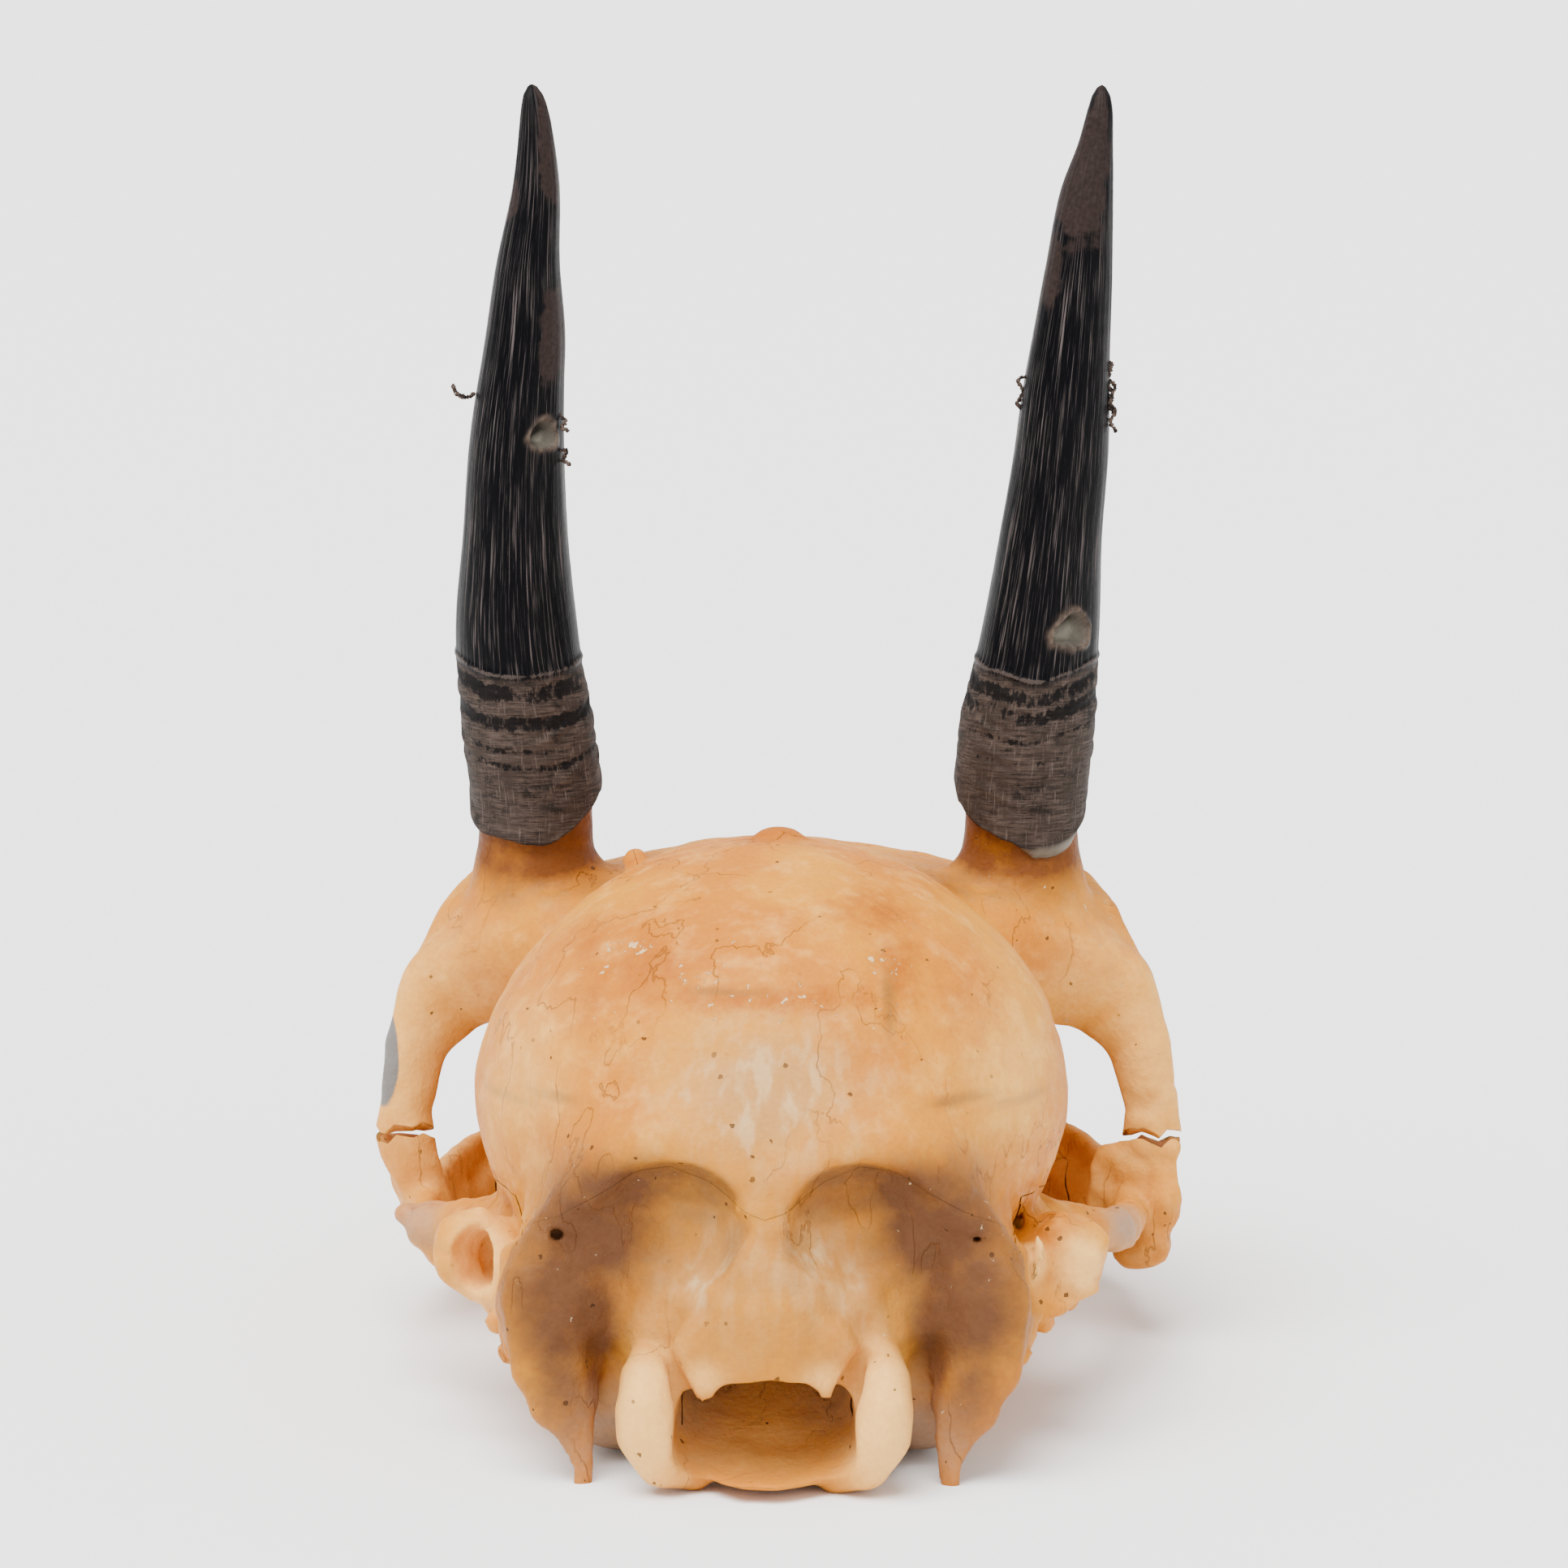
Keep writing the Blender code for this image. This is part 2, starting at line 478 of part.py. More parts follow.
def middle_sutures(cutters):
    """The cuts that cross the middle plane, from the crown to the snout."""
    crown_y, out, jaw = CROWN_SUTURE_Y, OUTSIDE_X, JAW_X
    face_line = [(-jaw, 93, 52), (-jaw, 87, 36), (-jaw, 80, 21), (-jaw, 64, 15), (-jaw, crown_y - 1, 15)]
    throat = [(-9.4, crown_y - 1), (-9.4, 63), (9.4, 63), (9.4, crown_y - 1)]
    throat = [(x, y, BELOW_Z) for x, y in throat]
    half_nose = [(8.7, 86.9, 49), (8.6, 86.9, 39.2), (7.4, 86.9, 37.4)]
    nose_line = mirrored(half_nose) + half_nose[::-1]
    middle = [(0, 93, 52), (0, 87, 36), (0, 80, 21), (0, 64, 15), (0, 62.9, 15)]
    middle += [(0, 62.9, BELOW_Z), (0, 140, BELOW_Z), (0, 140, 52)]
    return [
        ribbon("cut_crown", [(-out, crown_y, BELOW_Z), (-out, crown_y, 60)], (2 * out, 0, 0), cutters),
        ribbon("cut_face", face_line, (2 * jaw, 0, 0), cutters),
        ribbon("cut_brow", [(-jaw, crown_y - 1, 25), (-jaw, 82.4, 25)], (2 * jaw, 0, 0), cutters),
        ribbon("cut_throat", throat, (0, 0, THROAT_TOP_Z - BELOW_Z), cutters),
        sheet("cut_middle", middle, [tuple(range(len(middle)))], cutters, SUTURE),
        ribbon("cut_nose", nose_line, (0, 32, -15.6), cutters),
        ribbon("cut_snout", [(-13, 115, 2), (-13, 110, 12), (-13, 101.2, 30.6)], (26, 0, 0), cutters),
    ]


def side_sutures(side, way, cutters):
    """The cuts round the ear capsule and the cheek bone of one side, and the open gap in the eye's post."""
    ear = [(BASE_HALF_WIDTH, BELOW_Z), (BASE_HALF_WIDTH, 8.8), (9.5, 12.6), (19.5, 12.6), (22, 22)]
    ear = way(upright(ear + [(OUTSIDE_X, 23)], BACK_SUTURE_Y - 0.5))
    ear_front = way([(6.3, EAR_FRONT_Y, BELOW_Z), (OUTSIDE_X, EAR_FRONT_Y, BELOW_Z)])
    cheek = [(27.2, CROWN_SUTURE_Y - 1), (27.2, 76), (22.4, 89), (18, 98)]
    cheek = way([(x, y, BELOW_Z) for x, y in cheek])
    tear = way([(18, 66, CHEEK_TOP_Z), (OUTSIDE_X, 66, CHEEK_TOP_Z)])
    post = way([(JAW_X, 50, BAR_GAP_Z), (OUTSIDE_X, 50, BAR_GAP_Z)])
    return [
        ribbon(f"cut_ear_{side}", ear, (0, EAR_FRONT_Y - BACK_SUTURE_Y + 0.5, 0), cutters),
        ribbon(f"cut_ear_front_{side}", ear_front, (0, 0, EAR_TOP_Z - BELOW_Z), cutters),
        ribbon(f"cut_cheek_{side}", cheek, (0, 0, CHEEK_TOP_Z - BELOW_Z), cutters),
        ribbon(f"cut_tear_{side}", tear, (0, 32, 0), cutters),
        ribbon(f"cut_post_{side}", post, (0, 15, 0), cutters, BAR_GAP),
    ]


def floor_cut(cutters):
    """The block under the resting plane, which leaves small flats on the teeth and on the hooks."""
    depth = 10.0
    middle = Vector((0, LENGTH / 2, FLOOR_Z - depth / 2)) * METRE
    bpy.ops.mesh.primitive_cube_add(size=METRE, location=middle)
    cube = bpy.context.object
    cube.scale = (2.4 * OUTSIDE_X, LENGTH + 30, depth)
    bpy.ops.object.transform_apply(location=True, rotation=False, scale=True)
    block = helper("cut_floor", cube.data, cutters)
    bpy.data.objects.remove(cube, do_unlink=True)
    return block


def cut_away(thing, cutter):
    """Takes the cutter from the thing. The exact solver loses the braincase in one of the cuts."""
    cut = thing.modifiers.new(cutter.name, "BOOLEAN")
    cut.operation = "DIFFERENCE"
    cut.solver = "MANIFOLD"
    cut.object = cutter


def finished_mesh(thing):
    """The mesh that the modifiers of the thing give."""
    bpy.context.view_layer.update()
    graph = bpy.context.evaluated_depsgraph_get()
    return bpy.data.meshes.new_from_object(thing.evaluated_get(graph))


def loose_pieces(mesh, parts):
    """One object for each separate surface of the mesh."""
    whole = bpy.data.objects.new("parted", mesh)
    parts.objects.link(whole)
    bpy.ops.object.select_all(action="DESELECT")
    bpy.context.view_layer.objects.active = whole
    whole.select_set(True)
    bpy.ops.object.mode_set(mode="EDIT")
    bpy.ops.mesh.select_all(action="SELECT")
    bpy.ops.mesh.separate(type="LOOSE")
    bpy.ops.object.mode_set(mode="OBJECT")
    return list(parts.objects)


def middle_of(thing):
    return sum((Vector(corner) for corner in thing.bound_box), Vector()) / 8 / METRE


def name_bones(pieces):
    """Gives each bone's name to the largest piece near its middle, and drops the crumbs of the cuts."""
    for name, middle in BONE_MIDDLES.items():
        near = [piece for piece in pieces if (middle_of(piece) - Vector(middle)).length < NEAR]
        bone = max(near, key=lambda piece: len(piece.data.polygons))
        bone.name = bone.data.name = name
        pieces.remove(bone)
    for crumb in pieces:
        bpy.data.objects.remove(crumb, do_unlink=True)


def round_bar(name, centres, radii, cutters):
    """A closed round bar of changing radius along a line of centres."""
    curve = bpy.data.curves.new(name, "CURVE")
    curve.dimensions = "3D"
    curve.bevel_depth = METRE
    curve.bevel_resolution = HORN_SIDES
    curve.use_fill_caps = True
    line = curve.splines.new("POLY")
    line.points.add(len(centres) - 1)
    for point, centre, radius in zip(line.points, centres, radii):
        point.co = (*(Vector(centre) * METRE), 1)
        point.radius = radius
    bar = bpy.data.objects.new(name, curve)
    bpy.context.scene.collection.objects.link(bar)
    mesh = finished_mesh(bar)
    bpy.data.objects.remove(bar, do_unlink=True)
    solid = bmesh.new()
    solid.from_mesh(mesh)
    bmesh.ops.remove_doubles(solid, verts=solid.verts, dist=METRE / 1000)
    solid.to_mesh(mesh)
    solid.free()
    return helper(name, mesh, cutters)


def horn_line(table_x, widths):
    """The centres and radii of one sheath, ring by ring, from below its rim to the tip."""
    heights = np.linspace(HORN_FOOT_Z, HORN_Z[-1] - TIP_STEP, HORN_RINGS)
    across = smooth_through(HORN_Z, table_x, heights)
    along = smooth_through(HORN_Z, HORN_Y, heights)
    radius = smooth_through(HORN_Z, np.array(widths) / 2, heights)
    centres = [tuple(map(float, centre)) for centre in zip(across, along, heights)]
    return centres, [float(size) for size in radius]


def horn_sheath(side, sign, parts, cutters):
    """A horn sheath: a cone, trimmed on a slant at its rim and hollow where the bone core stands in it."""
    centres, radii = horn_line(HORN_X[side], HORN_WIDTHS[side])
    horn = round_bar(f"horn_{side}", centres, radii, cutters)
    core = [(sign * CORE_X, CORE_Y, height) for height, _ in SOCKET]
    socket = round_bar(f"cut_socket_{side}", core, [radius for _, radius in SOCKET], cutters)
    bpy.ops.mesh.primitive_cube_add(size=TRIM_SIZE * METRE)
    cube = bpy.context.object
    turn = Euler((RIM_SLANT, sign * RIM_LEAN, 0)).to_matrix().to_4x4()
    rim = Vector((sign * CORE_X, CORE_Y, RIM_Z)) * METRE
    cube.matrix_world = Matrix.Translation(rim) @ turn @ Matrix.Translation((0, 0, -TRIM_SIZE / 2 * METRE))
    bpy.ops.object.transform_apply(location=True, rotation=True, scale=True)
    trim = helper(f"cut_rim_{side}", cube.data, cutters)
    bpy.data.objects.remove(cube, do_unlink=True)
    cut_away(horn, trim)
    cut_away(horn, socket)
    name = f"horn_sheath_{side}"
    mesh = finished_mesh(horn)
    mesh.name = name
    parts.objects.link(bpy.data.objects.new(name, mesh))


def colour(thing):
    """The thing's own material."""
    look = bpy.data.materials.new(thing.name)
    look.use_nodes = True
    shader = look.node_tree.nodes["Principled BSDF"]
    horn = thing.name.startswith("horn")
    tint = HORN_COLOUR if horn else BONE_COLOURS.get(thing.name, BONE_COLOUR)
    shader.inputs["Base Color"].default_value = tint
    shader.inputs["Roughness"].default_value = HORN_ROUGHNESS if horn else BONE_ROUGHNESS
    thing.data.materials.clear()
    thing.data.materials.append(look)


def main():
    for old in list(bpy.data.objects):
        bpy.data.objects.remove(old, do_unlink=True)
    parts = bpy.data.collections.new(COLLECTION)
    cutters = bpy.data.collections.new(CUTTERS)
    bpy.context.scene.collection.children.link(parts)
    bpy.context.scene.collection.children.link(cutters)

    surface = skull_bone(CELL).mesh("skull")
    whole = helper("skull", surface, cutters)
    thin = whole.modifiers.new("fewer faces", "DECIMATE")
    thin.ratio = BONE_FACES / (2 * len(surface.polygons))
    cuts = [floor_cut(cutters)] + back_sutures(cutters) + middle_sutures(cutters)
    cuts += side_sutures("left", mirrored, cutters) + side_sutures("right", list, cutters)
    for cutter in cuts:
        cut_away(whole, cutter)
    name_bones(loose_pieces(finished_mesh(whole), parts))
    horn_sheath("left", -1, parts, cutters)
    horn_sheath("right", 1, parts, cutters)

    ends = [corner[1] for thing in parts.objects for corner in thing.bound_box]
    centre = Matrix.Translation((0, -(min(ends) + max(ends)) / 2, 0))
    for thing in parts.objects:
        thing.data.transform(centre)
        colour(thing)
    for thing in cutters.objects:
        thing.data.transform(centre)


main()
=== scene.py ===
"""The looks of a steenbok skull: aged bone with its pits, seams and stains, and two keratin horn sheaths.

The sections follow the skull as it grew: braincase, forehead, face, orbits, cheeks, back, ears, nose,
passages, teeth, seams and finish of the bone, then the horns, the frass on them and the room. Sizes are in
millimetres, measured forward (+Y) from the back of the neck joint and up (+Z) from the plane it rests on;
the pieces themselves are in metres, in the solids' frame.
"""

import json
import math

import bpy
import numpy as np
import openvdb
from mathutils import Euler, Matrix, Vector

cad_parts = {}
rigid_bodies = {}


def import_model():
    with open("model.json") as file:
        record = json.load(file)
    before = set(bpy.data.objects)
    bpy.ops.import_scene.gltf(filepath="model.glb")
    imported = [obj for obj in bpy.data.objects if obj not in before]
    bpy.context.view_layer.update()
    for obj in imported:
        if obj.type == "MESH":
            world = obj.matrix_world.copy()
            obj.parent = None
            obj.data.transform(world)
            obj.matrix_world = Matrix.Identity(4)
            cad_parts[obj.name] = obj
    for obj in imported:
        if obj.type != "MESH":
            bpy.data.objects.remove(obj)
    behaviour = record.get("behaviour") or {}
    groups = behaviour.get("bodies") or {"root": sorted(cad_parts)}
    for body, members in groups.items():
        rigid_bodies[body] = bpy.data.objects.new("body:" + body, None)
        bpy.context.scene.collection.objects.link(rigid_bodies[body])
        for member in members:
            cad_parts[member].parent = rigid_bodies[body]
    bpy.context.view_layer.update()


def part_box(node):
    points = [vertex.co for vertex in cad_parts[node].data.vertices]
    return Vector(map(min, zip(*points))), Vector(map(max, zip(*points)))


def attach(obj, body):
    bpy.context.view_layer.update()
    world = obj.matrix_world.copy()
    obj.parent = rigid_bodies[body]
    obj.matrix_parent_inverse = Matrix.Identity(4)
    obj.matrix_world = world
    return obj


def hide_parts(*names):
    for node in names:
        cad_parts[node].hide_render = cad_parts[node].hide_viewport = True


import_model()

# Braincase. A thin dome of cream bone, widest behind. Unlike forms never meet in an edge here, so no
# surface of two parameters gives it: the bone is held as distances on a grid, where eggs and tapered rods
# melt into one another, and its skin is drawn through the zero of that field.
METRE = 0.001
FOREHEAD_START = 46.65
back_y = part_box("frontal")[0][1] / METRE - FOREHEAD_START
CELL = 0.42
FAR = 6.0
SKULL_LENGTH = 136.0
skull_low = np.array((-41, -4, -4), np.float32)
skull_high = np.array((41, SKULL_LENGTH + 3, 61), np.float32)
counts = np.ceil((skull_high - skull_low) / CELL).astype(int) + 1
axes = [start + CELL * np.arange(count, dtype=np.float32) for start, count in zip(skull_low, counts)]
bone = np.full(counts, FAR, np.float32)


def soft_min(first, second, blend):
    """The smaller of two distances; where they differ by less than blend, a parabola rounds the corner."""
    near = np.maximum(blend - np.abs(first - second), 0) / blend
    return np.minimum(first, second) - near * near * blend / 4


def egg(centre, radii, turn=(0, 0, 0)):
    """An ellipsoid: the length of place over radii, less one, over the slope of that length."""
    facing = np.array(Euler([math.radians(angle) for angle in turn]).to_matrix(), np.float32)
    centre, radii = np.array(centre, np.float32), np.array(radii, np.float32)

    def distance(*place):
        offset = [axis - middle for axis, middle in zip(place, centre)]
        local = [sum(facing[row][column] * offset[row] for row in range(3)) for column in range(3)]
        length = np.sqrt(sum((part / radius) ** 2 for part, radius in zip(local, radii)))
        slope = np.sqrt(sum((part / radius**2) ** 2 for part, radius in zip(local, radii)))
        return length * (length - 1) / np.maximum(slope, 1e-6)

    reach = np.sqrt((facing**2 * radii**2).sum(axis=1))
    return distance, centre - reach, centre + reach


def rods(points, radii, thin=None, share=1.0):
    """A chain of tapered rods: the distance to the nearest bone of the chain, less its radius there. thin
    is the direction in which the chain is flattened to this share of its width."""
    points, radii = np.array(points, np.float32), np.array(radii, np.float32)
    flat = np.array(Vector(thin or (0, 0, 1)).normalized(), np.float32)

    def distance(*place):
        nearest = None
        for start, end, first, last in zip(points, points[1:], radii, radii[1:]):
            along = end - start
            offset = [axis - low for axis, low in zip(place, start)]
            part_way = np.clip(sum(part * step for part, step in zip(offset, along)) / (along @ along), 0, 1)
            offset = [part - part_way * step for part, step in zip(offset, along)]
            radius = first + (last - first) * part_way
            across = sum(part * step for part, step in zip(offset, flat))
            square = sum(part**2 for part in offset) - across**2
            length = np.sqrt(square / radius**2 + (across / (radius * share)) ** 2)
            slope = np.sqrt(square / radius**4 + across**2 / (radius * share) ** 4)
            found = length * (length - 1) / np.maximum(slope, 1e-6)
            nearest = found if nearest is None else np.minimum(nearest, found)
        return nearest

    widest = radii[:, None]
    return distance, (points - widest).min(axis=0), (points + widest).max(axis=0)


def both_sides(shape):
    """The shape and its mirror image: its distance is read at the absolute value of x."""
    distance, low, high = shape
    reach = max(abs(low[0]), abs(high[0]))
    wide_low = np.array((-reach, low[1], low[2]), np.float32)
    wide_high = np.array((reach, high[1], high[2]), np.float32)
    return (lambda x, y, z: distance(np.abs(x), y, z)), wide_low, wide_high


def near_places(low, high, margin):
    """The part of the grid from low to high, with a margin round it, and the places of its cells."""
    ranges = [
        slice(*np.searchsorted(axis, (start - margin, end + margin)))
        for axis, start, end in zip(axes, low, high)
    ]
    place = np.meshgrid(*[axis[part] for axis, part in zip(axes, ranges)], indexing="ij", sparse=True)
    return tuple(ranges), place


def grow(shape, blend=2.0):
    """Adds a shape to the bone, with a fillet of this width."""
    distance, low, high = shape
    ranges, place = near_places(low, high, blend + 3 * CELL)
    bone[ranges] = soft_min(bone[ranges], distance(*place), blend)


def hollow(shape, blend=1.0):
    """Takes a shape from the bone, with its lip rounded over this width."""
    distance, low, high = shape
    ranges, place = near_places(low, high, blend + 3 * CELL)
    bone[ranges] = -soft_min(-bone[ranges], distance(*place), blend)


def ease_along(values, side, steps):
    """The values of a lattice at these counts of steps along one side, eased from point to point."""
    index = np.minimum(steps.astype(int), values.shape[side] - 2)
    ease = (steps - index) ** 2 * (3 - 2 * (steps - index))
    ease = ease.reshape([-1 if side == other else 1 for other in range(values.ndim)])
    return np.take(values, index, axis=side) * (1 - ease) + np.take(values, index + 1, axis=side) * ease


LATTICE_REACH = 183


def roughen(size, height, seed, low=skull_low, high=skull_high):
    """Moves the surface by this height times smooth random values, on a lattice of this size."""
    ranges, _ = near_places(low, high, 0)
    count = int(LATTICE_REACH / size) + 4
    values = np.random.default_rng(seed).uniform(-1, 1, [count] * 3).astype(np.float32)
    for side, (axis, part) in enumerate(zip(axes, ranges)):
        values = ease_along(values, side, (axis[part] - axis[part][0]) / size)
    bone[ranges] += height * values


grow(egg((0, 29, 29), (26, 22.5, 20)), 1)
grow(egg((0, 37, 30.6), (23, 24, 19.6)), 5)
grow(egg((0, 15, 17), (21.5, 10.5, 10.5)), 5)
grow(egg((0, 30, 14), (17, 20, 7)), 5)
grow(egg((0, 49, 34), (19, 20, 12.6)), 4)
grow(egg((0.4, 37, 50.0), (2.4, 2.6, 1.5)), 0.6)
grow(egg((-12.6, 45, 46.9), (1.0, 1.2, 1.0)), 0.6)

# Forehead. A shield of bone over and between the orbits, in one piece with the two bone cores that the
# horn sheaths grow on. It is browner towards the cores.
CORE_X = 22.4
CORE_Y = 62.2


def smooth_through(stations, values, at):
    """The values here on a smooth curve: a cubic between stations, with the mean slope at each."""
    stations, values = np.array(stations, float), np.array(values, float)
    slopes = np.gradient(values, stations)
    index = np.clip(np.searchsorted(stations, at) - 1, 0, len(stations) - 2)
    step = stations[index + 1] - stations[index]
    part = np.clip((at - stations[index]) / step, 0, 1)
    left = 1 - part
    start = (1 + 2 * part) * left**2 * values[index] + part * left**2 * step * slopes[index]
    end = part * part * (3 - 2 * part) * values[index + 1] - part * part * left * step * slopes[index + 1]
    return (start + end).astype(np.float32)


def tunnel(stations, half_width, bottom, top, taper, power=2.6):
    """A body along Y whose section is |side|^power + |up|^power = 1: its half width, bottom and top change
    along the stations, and its width grows upwards by the share taper."""
    stations = np.array(stations, float)

    def distance(x, y, z):
        width = smooth_through(stations, half_width, y)
        low, high = smooth_through(stations, bottom, y), smooth_through(stations, top, y)
        lean = smooth_through(stations, taper, y)
        height = (high - low) / 2
        up = (z - (high + low) / 2) / height
        side = np.abs(x) / (width * (1 + lean * np.clip(up, -1.2, 1.2)))
        length = (side**power + np.abs(up) ** power) ** (1 / power) + 1e-6
        slope_side = (side / length) ** (power - 1) / width
        slope_up = (np.abs(up) / length) ** (power - 1) / height
        section = (length - 1) / np.maximum(np.hypot(slope_side, slope_up), 1e-3)
        ends = np.maximum(stations[0] - y, y - stations[-1]).astype(np.float32)
        return -soft_min(-section, -ends + 0 * section, 3.0)

    wide = max(half_width) * (1 + max(abs(share) for share in taper))
    low = np.array((-wide, stations[0], min(bottom)), np.float32)
    high = np.array((wide, stations[-1], max(top)), np.float32)
    return distance, low, high


grow(egg((0, 67, 35.0), (29, 20, 8.6)), 5)
grow(egg((0, 60, 36.5), (20, 20, 7.6)), 4)
grow(tunnel((48, 60, 72, 84), (11, 9.5, 9.5, 12), (11, 11, 10, 9), (39, 40, 40, 38), (0.1,) * 4), 5)
core = [(CORE_X + 0.2, CORE_Y - 0.5, 38), (CORE_X, CORE_Y, 45), (CORE_X, CORE_Y, 50), (CORE_X, CORE_Y, 54)]
grow(both_sides(rods(core, (7.0, 5.3, 5.1, 4.0))), 3)

# Face. Two upper jaw bones of thin pale bone, with the long walls of the nose above them and a deep pit in
# front of each orbit. All are parts of one body along the snout, whose section changes as it goes.
grow(tunnel(
    (70, 78, 84, 90, 96, 104, 112, 120, 128, 136),
    (13.5, 15, 15.3, 14, 12.2, 9.9, 8.5, 7.6, 6.7, 4.8),
    (9, 8.8, 8.6, 8.6, 8.6, 8.6, 8.4, 7.8, 7.2, 6.8),
    (42.5, 41.4, 39.8, 37.4, 34.4, 27, 21.6, 17.2, 13.4, 11),
    (-0.25, -0.25, -0.24, -0.24, -0.2, -0.12, -0.04, 0.05, 0.1, 0.1),
), 3)
gums = [(14.4, 57, 10.5), (15.3, 68, 10.5), (15.4, 80, 10.5), (13.6, 91, 10.5), (11.2, 99, 10.5)]
grow(both_sides(rods(gums, (4.4, 4.8, 4.6, 4.0, 3.4))), 2.5)
grow(rods([(0, 62, 11), (0, 80, 11), (0, 98, 10.6)], (13, 13.5, 11), (0, 0, 1), 0.16), 2)
hollow(both_sides(egg((20.6, 95.5, 23), (6.4, 8.0, 6.0), (0, 0, 20))), 2)

# Orbits. Deep bowls with a raised ring of bone, open behind to the hollow of the jaw muscle, and a post
# that comes down behind each eye.
ORBIT_CENTRE = (29.8, 71.5, 24.6)
ORBIT_FACES = (0.88, 0.42, 0.22)
orbit_turn = (0, 0, math.degrees(math.atan2(ORBIT_FACES[1], ORBIT_FACES[0])))
bowl = Vector(ORBIT_CENTRE) - 4.5 * Vector(ORBIT_FACES)
hollow(both_sides(egg(bowl, (17.5, 14.8, 14.4), orbit_turn)), 2)
hollow(both_sides(egg((30, 49.5, 21), (10.5, 9.5, 12))), 2)
tear = [(20.4, 85.8, 14), (19.2, 86.6, 21), (18.4, 86.0, 29), (18.4, 83.5, 35)]
grow(both_sides(rods(tear, (4.4, 4.4, 4.6, 4.6), (0.2, 1, 0), 0.5)), 2)
ring = [(34.6, 57.6, 21), (34.2, 59.2, 14.5), (33, 63.8, 10.2), (31, 71, 8.8), (28, 78, 9.8)]
ring += [(25, 83.4, 13.6), (23.4, 86.2, 20), (22.8, 85.9, 27), (23.6, 82.6, 33.6), (25.4, 76.5, 38.2)]
ring += [(27.6, 70, 39.6), (29.8, 64.2, 38), (32.2, 60, 33.6), (33.8, 58, 27.5), (34.6, 57.6, 21)]
grow(both_sides(rods(ring, (1.9, 2.0, 2.0, 1.9, 2.0, 2.1, 2.4, 2.5, 2.4, 2.2, 2.0, 2.0, 2.0, 1.9, 1.9))), 2)
post = [(34.8, 57.2, 17.0), (34.5, 57.4, 21), (33.3, 58.0, 27), (31.0, 59.2, 32.0), (27.5, 60.5, 35)]
grow(both_sides(rods(post, (1.9, 2.2, 3.0, 3.7, 4.2), (0.3, 1, 0), 0.6)), 1.5)
shelf = [(32.8, 61.5, 12.0), (31.4, 69, 12.4), (29.4, 75.5, 12.8), (27.6, 79.5, 13.2)]
grow(both_sides(rods(shelf, (1.6, 1.8, 1.8, 1.6), (1, 0.5, 0.2), 0.6)), 1.6)
web = [(30, 58.5, 32.0), (26, 57.5, 34.0), (20, 55.5, 35)]
grow(both_sides(rods(web, (4.0, 5.0, 6.5), (0.2, 1, 0.2), 0.5)), 2.5)

# Cheeks. The bar below each orbit and the thin arch of bone that runs back from it to a rough lump at the
# side of the braincase. The bone leans inwards below the open gap of the post.
corner = [(34.6, 57.3, 18.6), (33.4, 57.0, 15.4), (32.3, 57.2, 12.2), (32.2, 60, 9.8), (32.6, 64, 9.2)]
grow(both_sides(rods(corner, (2.6, 2.2, 1.9, 2.1, 2.1), (0, 1, 0), 0.7)), 1.2)
bar = [(31.8, 70, 8.6), (27.5, 78.5, 8.8), (21, 86, 10.5)]
grow(both_sides(rods(bar, (2.2, 2.8, 4.6), (0, 0.2, 1), 0.9)), 2.5)
arch = [(21.5, 28.5, 16.4), (26.5, 33, 15.6), (31, 38, 14.8), (32.3, 47, 13.4), (32.6, 57, 12)]
grow(both_sides(rods(arch, (4.4, 2.6, 2.0, 1.6, 1.7), (0.9, 0.3, 0.2), 0.8)), 1.6)
grow(both_sides(egg((23, 32, 14.6), (6.0, 5.4, 2.4))), 2)
for place, size in (((-31.0, 37.0, 14.9), 2.1), ((-32.8, 37.4, 15.9), 1.3), ((-29.8, 36.6, 13.0), 1.8)):
    grow(egg(place, (size, size * 1.3, size)), 0.6)
for place, size in (((34.3, 56.3, 9.0), 2.0), ((35.4, 55.8, 12.6), 1.8), ((32.6, 56.6, 8.2), 1.6)):
    grow(egg(place, (size, size, size * 1.2)), 1.2)
grow(rods([(36.2, 55.6, 17.6), (35.8, 55.6, 13.4), (33.6, 56, 9.4)], (1.0, 1.4, 1.4), (0.2, 1, 0), 0.7), 1)
grow(rods([(31.0, 57.5, 16.4), (30.6, 58, 12.4), (31.2, 59, 9.6)], (1.6, 2.2, 2.0), (0.2, 1, 0), 0.5), 1)

# Back of the skull. A double crest overhangs two dark hollows for the neck muscles and dips to a tongue in
# the middle. Below are the two smooth bands of the neck joint, beside the spinal opening, and two hooks.
CREST = [(0, 6.8, 24.8), (2.2, 6.9, 26.0), (4.6, 6.9, 28.3), (7.4, 7.0, 29.8), (10.4, 7.3, 29.4)]
CREST += [(13.6, 8.0, 27.0), (16.6, 9.0, 23.0), (19.6, 9.6, 18.6), (21.1, 9.8, 14.6), (20.5, 9.2, 11.0)]
grow(both_sides(rods(CREST, (2.2, 2.1, 2.1, 2.1, 2.2, 2.2, 2.2, 2.1, 2.0, 1.8))), 4)
grow(egg((0, 14, 27.5), (17.5, 8.2, 8.5)), 3)
grow(rods([(0, 9.5, 22), (0, 7.0, 17), (0, 6.0, 12)], (4.5, 6.5, 7.2), (0, 1, 0), 0.8), 3)
hollow(both_sides(egg((9.2, 3.2, 22.7), (7.8, 5.1, 6.1), (0, 18, 0))), 0.6)
hollow(both_sides(egg((14.6, 3.6, 18.2), (4.8, 4.8, 7.6), (0, 20, -12))), 1.4)
grow(rods([(0, 5.9, 23.0), (0, 5.3, 18), (0, 5.2, 14)], (0.5, 0.6, 0.5)), 1.4)
grow(egg((-2.3, 5.2, 24.4), (0.5, 0.5, 0.5)), 0.4)
